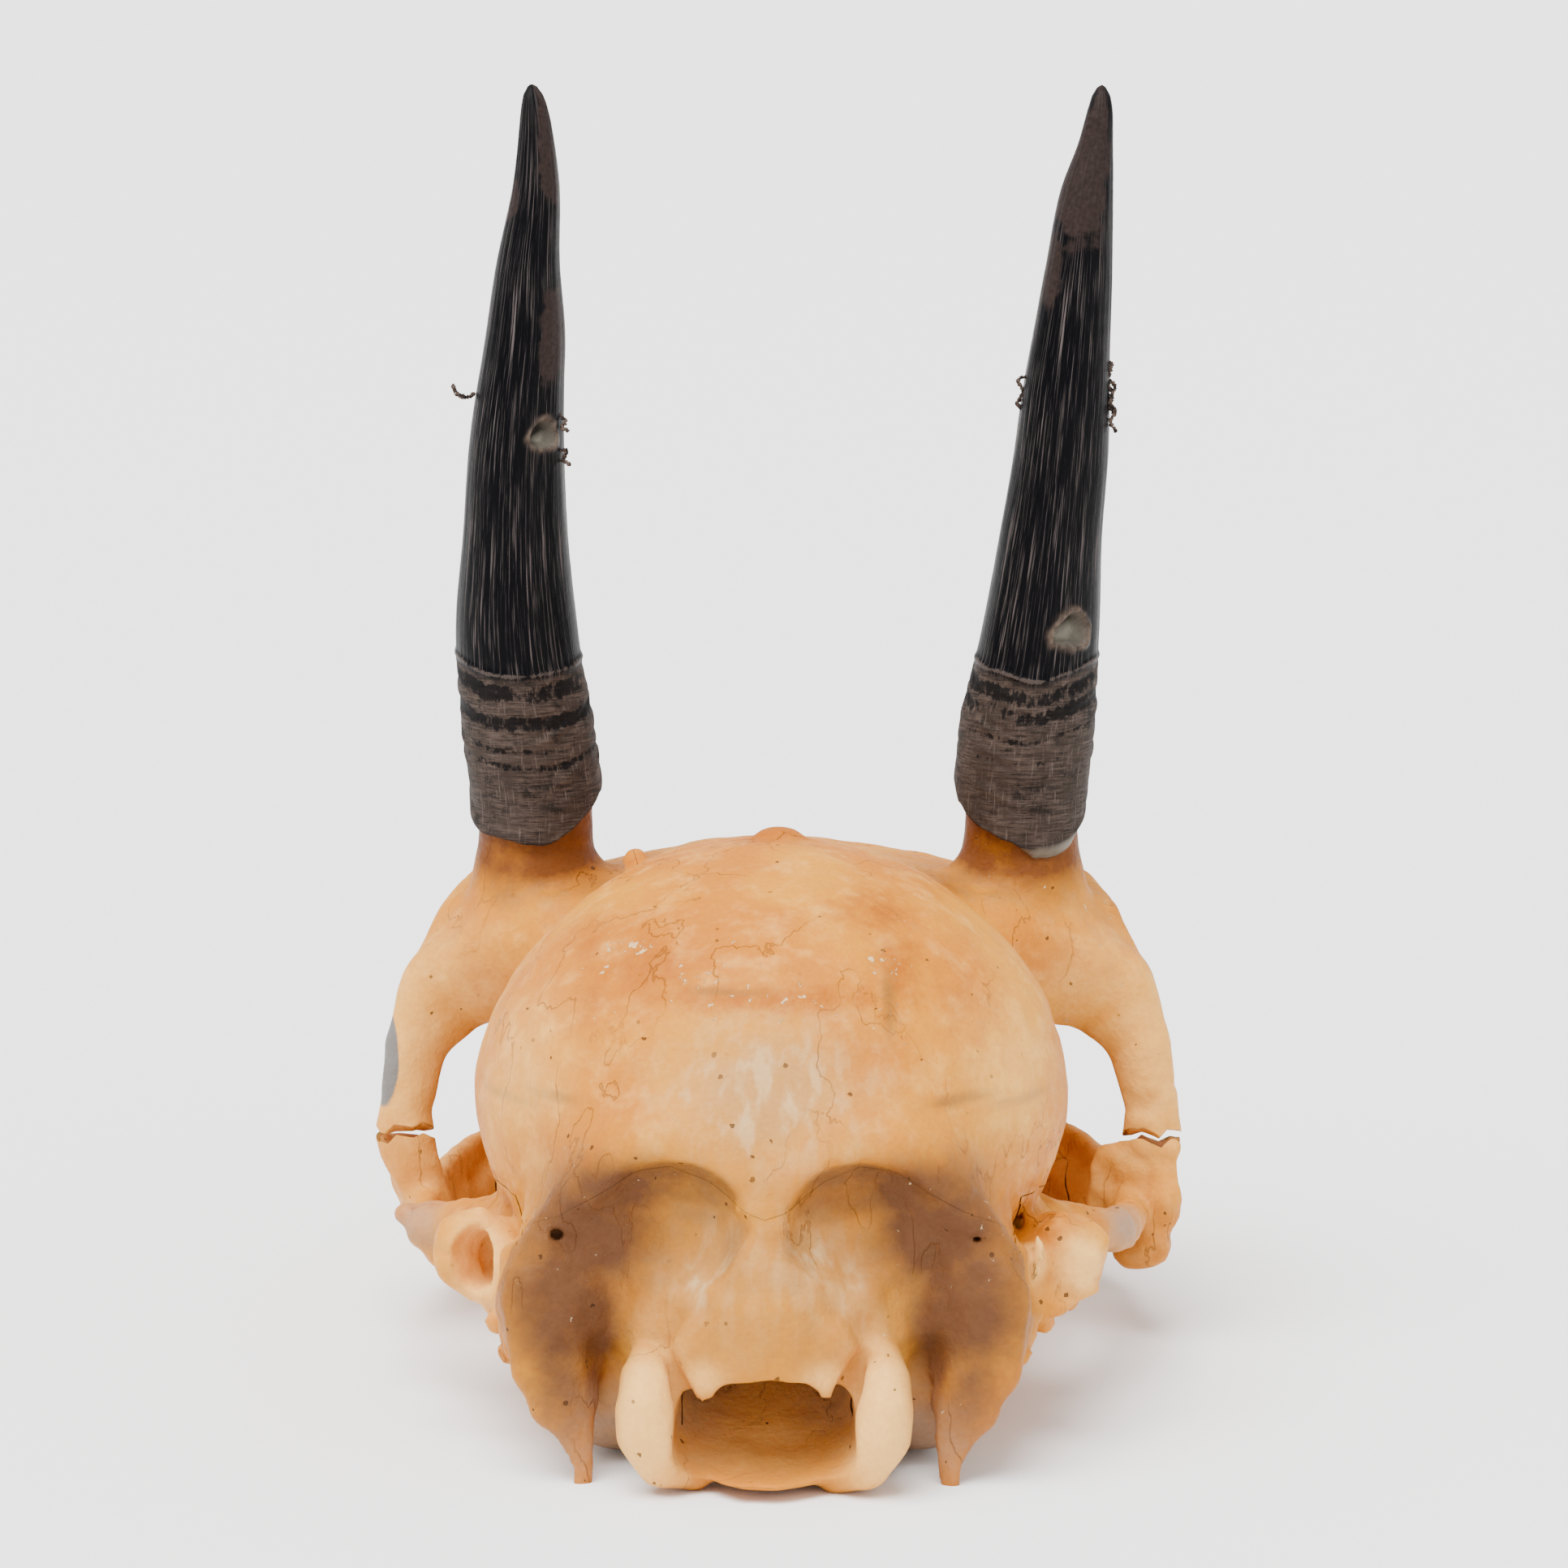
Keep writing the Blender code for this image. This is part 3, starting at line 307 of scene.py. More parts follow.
grow(rods([(0, 5.6, 3.3), (0, 18, 6.4), (0, 30, 9.4)], (8.0, 7.6, 6.0), (0, 0, 1), 0.36), 2.5)
grow(both_sides(rods([(8.2, 8.6, 12.5), (8.2, 8.6, 5)], (3.6, 3.4))), 2)
joint = [(10.2, 5.2, 11.2), (10.4, 3.4, 9.8), (10.3, 2.5, 7.8), (9.9, 2.3, 5.4)]
joint += [(8.4, 2.9, 3.0), (6.2, 4.2, 1.9), (4.2, 6.5, 2.2)]
grow(both_sides(rods(joint, (1.6, 2.2, 2.5, 2.6, 2.5, 2.0, 1.6))), 0.7)
hollow(both_sides(rods([(8.2, 1.2, 13.0), (7.6, 0.6, 10.4), (6.9, 0.6, 8.4)], (0.9, 1.2, 1.0))), 1.0)
hook = [(18.0, 8.4, 15.5), (17.9, 7.8, 10.5), (17.2, 7.2, 7.2), (16.2, 6.6, 4.0)]
hook += [(15.7, 6.2, 1.8), (15.7, 6.1, -1.0)]
grow(both_sides(rods(hook, (4.8, 4.2, 3.2, 1.7, 1.05, 0.8), (0.3, 1, 0), 0.5)), 1.2)
hollow(both_sides(egg((14.1, 4.4, 10.4), (1.3, 4.4, 3.4), (0, 8, 0))), 0.9)

# Ears. A smooth grey capsule under each side, and the bony tube that opens behind the arch. The right tube
# is broken off short, with a pale broken face and a white splinter beside it.
grow(both_sides(egg((12.9, 17.0, 7.2), (5.9, 7.6, 7.0), (0, 0, 12))), 1.5)
grow(both_sides(rods([(17, 18, 11), (22.6, 20.5, 14.5), (25.8, 21.3, 16.6)], (4.0, 3.7, 3.6))), 1.5)
grow(both_sides(rods([(18.4, 16, 15), (18.8, 13, 12)], (4.0, 3.4))), 3)
grow(both_sides(rods([(21.6, 15, 17.4), (21.9, 14, 13.2), (21.4, 13, 9.6)], (1.5, 1.7, 1.2))), 1)
hollow(rods([(-24.6, 22.0, 15.8), (-26.0, 16.8, 16.9)], (2.2, 3.5), (1, 0, 0), 0.60), 0.4)
hollow(egg((28.0, 11.4, 16.8), (6.4, 6.4, 5.6), (0, 0, -8)), 0.4)
hollow(egg((25.9, 15.4, 19.2), (1.9, 2.6, 1.7), (0, 25, 0)), 0.4)
hollow(egg((28.6, 15.6, 13.4), (1.6, 2.4, 1.2), (0, -30, 0)), 0.4)
grow(rods([(23.5, 16.9, 20.2), (23.3, 16.2, 16.0)], (0.8, 1.0), (1, 0.2, 0), 0.5), 0.3)
grow(both_sides(rods([(24.0, 27.5, 15), (24.4, 26.5, 12.2)], (2.4, 1.5))), 1)
grow(rods([(23.0, 17.2, 12.6), (26.2, 18.6, 13.0), (28.0, 19.6, 14.2)], (0.6, 0.7, 0.6)), 0.4)
knots = [(-23.4, 16.4, 11.2), (-22.4, 15.2, 9.0), (24.0, 19.6, 10.8), (25.6, 21, 12.8), (22.6, 16.4, 21.6)]
for place in knots:
    grow(egg(place, (1.2, 1.0, 0.8), (20, 30, 40)), 0.6)

# Nose. Two long nose bones that end in points over an open passage, and the slits in the front of the
# palate. The bones are thin and pale, and seams part them from the jaw bones.
passage_half, passage_floor = (5.5, 7.0, 7.1, 6.6, 5.8, 5.0), (15, 13, 12, 11, 10.2, 9.6)
passage_roof = (30, 36, 40, 42, 36, 34)
hollow(tunnel((92, 100, 108, 116, 126, 140), passage_half, passage_floor, passage_roof, (0.1,) * 6), 1)
nose_stations, nose_half = (82, 90, 100, 107, 113), (9.0, 8.6, 8.2, 6.6, 1.6)
nose_bottom, nose_top = (34, 32.4, 28.6, 25.6, 24.8), (40.6, 38.2, 33.4, 29.6, 26.9)
grow(tunnel(nose_stations, nose_half, nose_bottom, nose_top, (-0.2,) * 5), 1)
under_bottom, under_top = (22, 20, 18, 16), (33, 31.2, 27.2, 25.0)
hollow(tunnel((94, 100, 108, 114), (5.6, 6.2, 5.4, 4.0), under_bottom, under_top, (0,) * 4), 1)
hollow(both_sides(egg((3.6, 118, 9), (1.4, 11, 6), (0, 0, 3))), 0.5)

# Passages. The opening for the spinal cord, as deep as it can be seen into, with two lips in its upper
# edge, the small holes beside the crest, and two ducts behind the palate. The bone's roughness comes last.
floor_z, roof_z = (1.6, 1.7, 4.4, 12.0), (9.0, 9.3, 13.4, 19.0)
hollow(tunnel((-3, 4, 14, 30), (7.7, 7.7, 7.0, 6.2), floor_z, roof_z, (-0.05,) * 4, 3.6), 0.5)
hollow(egg((0, 2, 8.8), (4.6, 5, 1.5)), 0.6)
grow(both_sides(rods([(4.8, 3.6, 12.4), (5.2, 2.8, 9.0)], (3.2, 0.8), (0, 1, 0), 0.6)), 0.8)
hollow(both_sides(rods([(4.2, 44, 7.4), (4.2, 62, 8.0)], (2.6, 3.4))), 1.5)
hollow(both_sides(rods([(17.9, 5, 21.4), (17.9, 8.6, 21.2)], (0.45, 0.45))), 0.3)
roughen(7.0, 0.22, 1)
roughen(2.6, 0.11, 2)
roughen(1.3, 0.07, 3)
roughen(1.7, 0.26, 4, (-22, 3, 12), (22, 9, 27))
roughen(1.2, 0.30, 5, (-36, 10, 7), (-20, 42, 24))
roughen(1.2, 0.30, 6, (20, 10, 7), (38, 58, 24))
roughen(1.5, 0.45, 7, (22, 13, 9), (31, 24, 23))

# Teeth. Six grinders in each upper jaw, one with its bone: a lobe for each premolar and two for each
# molar, with a crescent pit in the worn face of every lobe. The row is made from its front end back.
TOOTH_LENGTHS = (5.0, 5.6, 5.6, 8.6, 10.2, 10.0)
TOOTH_WIDTHS = (4.4, 5.4, 6.6, 7.6, 8.0, 7.2)
MOLAR_LENGTH = 6
ROW_Y = (55, 68, 80, 91, 100)
ROW_X = (14.6, 15.4, 15.4, 13.6, 11.4)
front = 100.5
for length, width in zip(TOOTH_LENGTHS, TOOTH_WIDTHS):
    lobes = 1 if length < MOLAR_LENGTH else 2
    lobe = length / lobes
    for count in range(lobes):
        middle = front - lobe * (count + 0.5)
        across = float(smooth_through(ROW_Y, ROW_X, np.array([middle]))[0])
        crown = [(across, middle, 10), (across, middle, -1.5)]
        grow(both_sides(rods(crown, (width / 2, width / 2), (0, 1, 0), 1.12 * lobe / width)), 0.5)
        pit = [(across - 0.2, middle - lobe * 0.28, 0.2), (across + width * 0.12, middle, 0.2)]
        pit += [(across - 0.2, middle + lobe * 0.28, 0.2)]
        hollow(both_sides(rods(pit, (0.5, 0.6, 0.5))), 0.3)
    front -= length

# Seams. Thin wavy cuts part the skin into the bones that a person would name. The cut in the post behind
# each eye stands open, as the glue joint of the real one does.
NEAR = 8.0
BONES = {
    "occipital": (0, 14.0, 14.3),
    "braincase": (0, 28.0, 28.0),
    "ear_left": (-17.7, 18.9, 11.2),
    "ear_right": (17.7, 18.9, 11.2),
    "frontal": (0, 67.3, 38.6),
    "sphenoid": (0, 64.1, 20.0),
    "palatine": (0, 54.7, 11.9),
    "zygomatic_left": (-29.6, 68.5, 12.2),
    "zygomatic_right": (29.6, 68.5, 12.2),
    "maxilla_left": (-13.7, 82.4, 19.5),
    "maxilla_right": (13.5, 82.4, 19.5),
    "nasal_left": (-4.3, 100, 32),
    "nasal_right": (4.3, 100, 32),
    "premaxilla_left": (-4.7, 120.3, 15.1),
    "premaxilla_right": (4.5, 120.4, 15.1),
}
places = bpy.data.collections.new("skull_pieces")
bpy.context.scene.collection.children.link(places)


def evaluated(thing):
    """The mesh that the thing's modifiers give."""
    bpy.context.view_layer.update()
    graph = bpy.context.evaluated_depsgraph_get()
    return bpy.data.meshes.new_from_object(thing.evaluated_get(graph))


def put(name, data):
    """An object with this data, linked to the scene."""
    thing = bpy.data.objects.new(name, data)
    bpy.context.scene.collection.objects.link(thing)
    return thing


def eased(rows, columns, row_steps, column_steps, seed, closed=False):
    """Smooth values from -1 to 1 on a grid: a coarse grid of random numbers, eased from point to point.
    closed joins the last column to the first, for a tube."""
    values = np.random.default_rng(seed).uniform(-1, 1, (row_steps + 2, column_steps + 1))
    if closed:
        values[:, -1] = values[:, 0]
    values = ease_along(values, 0, np.linspace(0, row_steps, rows))
    return ease_along(values, 1, np.linspace(0, column_steps, columns, endpoint=not closed))


SEAM_STEP = 0.8


def seam(points, sweep, width=0.15, wave=0.3, size=2.2, seed=0, spare=None, lift=None):
    """A thin wall: the line through the points, carried along sweep in steps under a millimetre, and moved
    off that line by a smooth random wave of this height and size. spare tells where the wall has a hole,
    lift how far each place of it is raised."""
    points, sweep = np.array(points, float), np.array(sweep, float)
    line = []
    for start, end in zip(points, points[1:]):
        steps = max(2, int(np.linalg.norm(end - start) / SEAM_STEP))
        line.append(start + (end - start) * np.linspace(0, 1, steps, endpoint=False)[:, None])
    line = np.concatenate(line + [points[-1:]])
    rows = max(3, int(np.linalg.norm(sweep) / SEAM_STEP))
    grid = line[:, None, :] + sweep * np.linspace(0, 1, rows)[None, :, None]
    tangent = np.gradient(line, axis=0)
    side = np.cross(tangent, sweep)
    side /= np.linalg.norm(side, axis=1)[:, None]
    steps = [max(2, int(count * SEAM_STEP / size)) for count in grid.shape[:2]]
    grid += side[:, None, :] * wave * eased(*grid.shape[:2], *steps, seed)[..., None]
    index = np.arange(grid.shape[0] * grid.shape[1]).reshape(grid.shape[:2])
    quads = np.stack([index[:-1, :-1], index[1:, :-1], index[1:, 1:], index[:-1, 1:]], -1).reshape(-1, 4)
    grid = grid.reshape(-1, 3)
    if lift:
        grid[:, 2] += lift(grid)
    if spare:
        quads = quads[~spare(grid)[quads].all(axis=1)]
        kept, quads = np.unique(quads, return_inverse=True)
        grid, quads = grid[kept], quads.reshape(-1, 4)
    mesh = bpy.data.meshes.new("seam")
    mesh.from_pydata(grid * METRE, [], quads)
    wall = put("seam", mesh)
    thick = wall.modifiers.new("thickness", "SOLIDIFY")
    thick.thickness = width * METRE
    thick.offset = 0
    return wall


grid = openvdb.FloatGrid(background=FAR)
grid.copyFromArray(bone)
grid.transform = openvdb.createLinearTransform(voxelSize=CELL)
skin, _, quads = grid.convertToPolygons(isovalue=0.0, adaptivity=0.0)
mesh = bpy.data.meshes.new("whole")
mesh.from_pydata((skin + skull_low) * METRE, [], quads)
whole = bpy.data.objects.new("whole", mesh)
places.objects.link(whole)
relax = whole.modifiers.new("relax", "SMOOTH")
relax.factor = 0.5
relax.iterations = 2

BASE_TOP = 12.1
BASE_HALF = 7.4
BASE_BACK = 9.2
BASE_FRONT = 27.2


def base_side(at):
    """Half the width of the back bone's base, which runs forward between the ears."""
    return BASE_HALF + np.clip((at[:, 2] - 8.8) / 3.8, 0, 1) * 1.4


def in_base(at):
    """True in the base, where the wall behind the ears has a hole."""
    return (np.abs(at[:, 0]) < base_side(at)) & (at[:, 2] < BASE_TOP - 0.2)


def beside_base(at):
    """True well outside the base, where the wall at its front end has no use."""
    return np.abs(at[:, 0]) > base_side(at) + 1.0


def under_crest(at):
    """How far the seam at the back rises to run in the shadow under the two arches of the crest."""
    arch = np.interp(np.abs(at[:, 0]), (0, 2, 5, 8, 11, 14, 17.5), (0.2, 0.8, 3.0, 4.4, 4.0, 2.0, 0))
    return arch * np.clip((at[:, 2] - 14) / 7, 0, 1)


OUTSIDE = 42
BELOW = -6
EYE_SIDE = 27.8
JAW_BACK = 45.2
GLUE_GAP = 1.0
across = (2 * OUTSIDE, 0, 0)
between_eyes = (2 * EYE_SIDE, 0, 0)
back_line = [(-OUTSIDE, y, z) for y, z in ((9.8, BELOW), (9.8, 21.4), (7.0, 23.4), (2.4, 23.6))]
base_line = [(x, BASE_FRONT, BELOW) for x in (-10.8, 10.8)]
brow = ((94, 54), (87, 36), (80, 21), (64, 15), (JAW_BACK, 15))
middle_line = [(0, y, z) for y, z in ((62.2, BELOW), (62.6, 14.6), (79.4, 21.2), (86.4, 36.2), (93, 54))]
throat = [(-9.4, JAW_BACK, BELOW), (-9.4, 63, BELOW), (9.4, 63, BELOW), (9.4, JAW_BACK, BELOW)]
half_nose = [(8.7, 86.9, 49), (8.6, 86.9, 39.2), (7.4, 86.9, 37.4)]
nose_line = [(-x, y, z) for x, y, z in half_nose] + half_nose[::-1]
walls = [
    seam(back_line, across, 0.04, 0.12, seed=1, spare=in_base, lift=under_crest),
    seam([(x, BASE_BACK, BASE_TOP) for x in (-10, 10)], (0, 18.6, 0), wave=0.15, seed=9),
    seam(base_line, (0, 0, BASE_TOP + 6.7), wave=0.15, seed=10, spare=beside_base),
    seam([(-OUTSIDE, 46.5, z) for z in (BELOW, 60)], across, seed=2),
    seam([(-EYE_SIDE, y, z) for y, z in brow], between_eyes, seed=3),
    seam([(-EYE_SIDE, y, 25) for y in (JAW_BACK, 83)], between_eyes, seed=4),
    seam(throat, (0, 0, 21.9), seed=5),
    seam(middle_line, (0, 78, 0), seed=6),
    seam(nose_line, (0, 32, -15.6), wave=0.1, seed=7),
    seam([(-13, 115, 2), (-13, 110, 12), (-13, 101.2, 30.6)], (26, 0, 0), wave=0.12, seed=8),
]
for sign in (-1, 1):
    ear = ((BASE_HALF, BELOW), (BASE_HALF, 8.8), (9.5, 12.6), (19.5, 12.6), (22, 22), (OUTSIDE, 23))
    ear = [(sign * x, BASE_BACK, z) for x, z in ear]
    cheek = [(sign * x, y, BELOW) for x, y in ((27.2, JAW_BACK), (27.2, 76), (22.4, 89), (17.5, 99))]
    walls += [
        seam(ear, (0, 19.6, 0), seed=20 + sign),
        seam([(sign * x, 28.07, BELOW) for x in (6.8, OUTSIDE)], (0, 0, 30.2), seed=23 + sign),
        seam(cheek, (0, 0, 22.4), seed=26 + sign),
        seam([(sign * x, 65.5, 15.6) for x in (17.6, OUTSIDE)], (0, 34, 0), seed=29 + sign),
        seam([(sign * x, 50, 20.1) for x in (27, OUTSIDE)], (0, 15, -2.64), GLUE_GAP, 0.9, 1.3, 32 + sign),
    ]
TABLE_SIZE = 0.2
bpy.ops.mesh.primitive_cube_add(size=TABLE_SIZE, location=(0, 0.07, -TABLE_SIZE / 2))
table = bpy.context.object
walls.append(table)
for wall in walls:
    cut = whole.modifiers.new("seam", "BOOLEAN")
    cut.operation = "DIFFERENCE"
    cut.solver = "MANIFOLD"
    cut.object = wall
whole.data = evaluated(whole)
whole.modifiers.clear()
for wall in walls:
    bpy.data.objects.remove(wall, do_unlink=True)
bpy.ops.object.select_all(action="DESELECT")
bpy.context.view_layer.objects.active = whole
whole.select_set(True)
bpy.ops.object.mode_set(mode="EDIT")
bpy.ops.mesh.select_all(action="SELECT")
bpy.ops.mesh.separate(type="LOOSE")
bpy.ops.object.mode_set(mode="OBJECT")
loose = list(places.objects)
pieces = {}
for name, middle in BONES.items():
    near = []
    for thing in loose:
        centre = sum((Vector(corner) for corner in thing.bound_box), Vector()) / 8 / METRE
        if (centre - Vector(middle)).length < NEAR:
            near.append(thing)
    piece = max(near, key=lambda thing: len(thing.data.polygons))
    loose.remove(piece)
    piece.name = piece.data.name = name + "_bone"
    pieces[name] = piece
for crumb in loose:
    bpy.data.objects.remove(crumb, do_unlink=True)

# Finish of the bone. Dry cream bone, orange and waxy where it is thin, with brown painted shade in the
# hollows under the crest and orange painted shade in other recesses, pale rubbed bands, painted light
# inside the spinal opening, and white flakes of dried skin on the dome. Masks on the points say where
# each lies.
CREAM = (0.60, 0.235, 0.008, 1)
DEEP_CREAM = (0.51, 0.160, 0.003, 1)
TAN = (0.30, 0.112, 0.013, 1)
ORANGE = (0.40, 0.108, 0.001, 1)
AMBER = (0.140, 0.042, 0.007, 1)
# Brown for painted shade in the hollows under the crest, and for the stains on the teeth.
EARTH_AND_SHADE = (0.108, 0.043, 0.0165, 1)
# Pale of rubbed bone; also painted light inside the spinal opening.
PALE_RUB_AND_LIGHT = (0.84, 0.46, 0.125, 1)
PINKISH = (0.49, 0.235, 0.062, 1)
BLEACHED = (0.60, 0.40, 0.19, 1)
GREY = (0.34, 0.21, 0.13, 1)
SLATE = (0.16, 0.15, 0.14, 1)
FLAKE = (0.74, 0.54, 0.30, 1)
ENAMEL = (0.62, 0.40, 0.16, 1)
SPECK = (0.04, 0.016, 0.006, 1)
DUST = (0.78, 0.66, 0.52, 1)
ORANGE_PLACES = (
    ((29, 59, 36), (5, 4, 3), 0.8),
    ((29, 70, 13), (6, 14, 6), 0.5),
    ((32, 56, 10), (5, 5, 3), 0.5),
    ((0, 37, 50.8), (2.6, 3.4, 1.4), 1.6),
    ((26, 26, 11), (4, 4, 3), 0.8),
)
DOME_ORANGE_PLACES = (
    ((0, 14, 41.2), (13, 8, 1.0), 0.95),
    ((-10, 16, 43.0), (3.8, 6, 2.6), 0.95),
    ((11, 15, 43.0), (2.2, 6, 3.6), 1.0),
    ((9, 22, 46.6), (4.4, 5, 1.8), 0.9),
    ((-16, 22, 44.6), (2.4, 5, 2.4), 0.7),
    ((-15, 17, 40), (3, 5, 5), 0.5),
    ((17, 18, 39), (4, 5, 6), 0.5),
)
AMBER_PLACES = (
    ((22.4, 60, 46.4), (8.5, 10, 4.2), 1.8),
    ((17.5, 55, 43.6), (5, 6, 1.8), 0.9),
    ((25, 55, 42), (3, 5, 2), 0.6),
    ((14.0, 6, 10.0), (1.5, 4, 4.4), 1.7),
    ((17.0, 7.5, 7.0), (2.4, 5, 4.6), 0.85),
    ((14.5, 8, 13.4), (1.8, 4, 2.4), 1.2),
)
# Painted shade in brown: the hollows under the two arches of the crest and the hooks; the last two are faint
# shade under the tongue and beside the ridge in the middle.
HOLLOW_SHADE_PLACES = (
    ((12.6, 7, 25.4), (4.2, 5, 2.8), 1.2),
    ((14.9, 7, 21.8), (5.0, 7, 4.6), 1.3),
    ((17.0, 7, 15.8), (4.0, 7, 5.4), 1.3),
    ((17.8, 7, 9.6), (2.6, 6, 4.0), 0.6),
    ((12.2, 7, 19.6), (3.4, 7, 4.0), 0.5),
    ((0, 5.4, 22.4), (2.6, 2, 0.6), 0.3),
    ((2.4, 6, 19.6), (1.2, 3, 3.8), 0.3),
)
CREST_SHADE = (((11.0, 6.5, 24), (9.0, 4.5, 6.5), 1.2), ((0, 6, 22), (5, 4, 3), 0.8))
TAN_PLACES = (
    ((0, 6, 18.5), (10, 5, 6), 0.9),
    ((0, 5, 13.6), (9.5, 5, 4.4), 1.3),
    ((0, 6, 1.5), (7, 5, 1.6), 0.9),
    ((17, 8, 25.4), (5, 4, 3), 0.9),
    ((20.8, 9, 16), (3.0, 6, 8), 1.2),
    ((16.0, 7, 3.6), (1.6, 4, 3.4), 0.9),
    ((0, 6, 26.0), (12, 4, 1.6), 0.5),
)
PALE_PLACES = (
    ((9.8, 2, 6.6), (2.8, 4, 5.6), 1.9),
    ((34, 57.5, 25), (5.0, 5, 12), 0.7),
    # painted light: the deep inside of the spinal opening, painted pale as if lit
    ((0, 16, 6.0), (8.8, 9, 5.0), 2.0),
    ((30, 66, 14), (8, 12, 8), 0.55),
    ((22, 16, 34), (5, 8, 7), 0.5),
    ((5.2, 2.6, 10.2), (2.2, 3, 1.6), 0.9),
    ((28, 59, 34), (5, 5, 4), 0.8),
)
RIGHT_PLACES = (
    ((27.4, 17.6, 16.2), (2.2, 3, 2.8), 1.5),
    ((23.4, 16.5, 18), (0.9, 1.6, 2.8), 1.8),
    ((-25, 20, 16), (2.4, 5, 4), 1.6),
    ((-26, 16.4, 16.8), (4.4, 1.6, 4.6), 1.0),
)
PINKISH_PLACES = (
    ((0, 8, 33.5), (7.5, 6, 5.5), 1.3),
    ((0, 6, 18.4), (8.0, 4, 5.2), 0.85),
    ((3.4, 6, 19.5), (1.6, 3, 3.6), 1.6),
    ((0.6, 6, 17), (0.9, 3, 5), 1.3),
    ((-5.5, 5.5, 17.5), (1.4, 3, 3), 1.2),
    ((-2.4, 6, 20.5), (1.2, 3, 3), 1.2),
    ((7.2, 6, 16.5), (1.2, 3, 3), 1.2),
)
GREY_PLACES = (((12.6, 17, 3.4), (7, 9, 4.6), 1.8), ((31.4, 37, 15.2), (3.0, 4, 2.2), 1.1))
POST_OVAL = (((-36.4, 57.5, 26.0), (1.3, 4, 3.9), 2.4),)
LINE_PLACES = (
    ((-22.0, 19, 31.1), (2.8, 5, 0.40), 1.5),
    ((-18.4, 14.5, 32.2), (2.8, 5, 0.40), 1.4),
    ((16.5, 12.5, 32.4), (2.8, 5, 0.45), 1.5),
    ((21.6, 17.5, 31.4), (3.0, 5, 0.45), 1.4),
    ((-3.2, 12, 41.7), (3.0, 3, 0.3), 1.1),
    ((10.4, 13, 40.5), (0.5, 3, 2.6), 1.3),
)
FLAKE_PLACES = (
    ((-12.7, 18.3, 43.7), (3.6, 3, 3.2), 0.66),
    ((-6.3, 13.4, 42.6), (3.6, 3, 1.6), 0.62),
    ((10, 15.7, 43.3), (2.6, 3, 2.4), 0.66),
    ((0, 14, 41), (14, 6, 3), 0.42),
    ((0, 10, 22), (24, 12, 12), 0.1),
    ((19.5, 9.6, 20), (2, 3, 6), 0.5),
    ((22, 60, 30), (18, 10, 20), 0.24),
)


def patches(at, places, mirror=True):
    """How strongly each point lies in the patches, which are a centre, three radii and a strength: the
    largest of strength times exp(-distance squared)."""
    found = np.zeros(len(at), np.float32)
    for centre, radii, strength in places:
        offset = at - np.array(centre)
        if mirror and centre[0] > 0:
            offset[:, 0] = np.abs(at[:, 0]) - centre[0]
        found = np.maximum(found, strength * np.exp(-((offset / np.array(radii)) ** 2).sum(axis=1)))
    return found


def depth_at(at):
    """The bone's distance field at any place, from the eight cells round it."""
    steps = np.clip((at - skull_low) / CELL, 0, counts - 1.001)
    index = steps.astype(int)
    part = (steps - index).T
    start = np.ravel_multi_index(index.T, bone.shape)
    value = 0
    for corner in np.ndindex(2, 2, 2):
        weight = 1
        for share, upper in zip(part, corner):
            weight = weight * (share if upper else 1 - share)
        value = value + weight * bone.ravel()[start + np.ravel_multi_index(corner, bone.shape)]
    return value


def facing(at):
    """The way the whole bone faces at each place: the slope of its distance over a millimetre."""
    slope = np.stack([depth_at(at + step) - depth_at(at - step) for step in 0.5 * np.eye(3)], axis=1)
    return slope / np.maximum(np.linalg.norm(slope, axis=1, keepdims=True), 1e-6)


def write_values(mesh, name, kind, values):
    """Writes an attribute on the points of a mesh; its kind is value, vector or color."""
    kinds = {"value": "FLOAT", "vector": "FLOAT_VECTOR", "color": "FLOAT_COLOR"}
    attribute = mesh.attributes.new(name, kinds[kind], "POINT")
    attribute.data.foreach_set(kind, values.astype(np.float32).ravel())


RECESS_REACH, RECESS_WIDTH = 3.0, 2.6
WALL_REACH, WALL_THICKNESS = 2.5, 2.3
# Painted shadow under the crest: each rise above a point, in millimetres, and the share of shade where bone
# is there.
CREST_SHADOW_PROBES = ((1.6, 0.8), (2.8, 0.55), (4.2, 0.25))
CROWN_TOP = 6.3


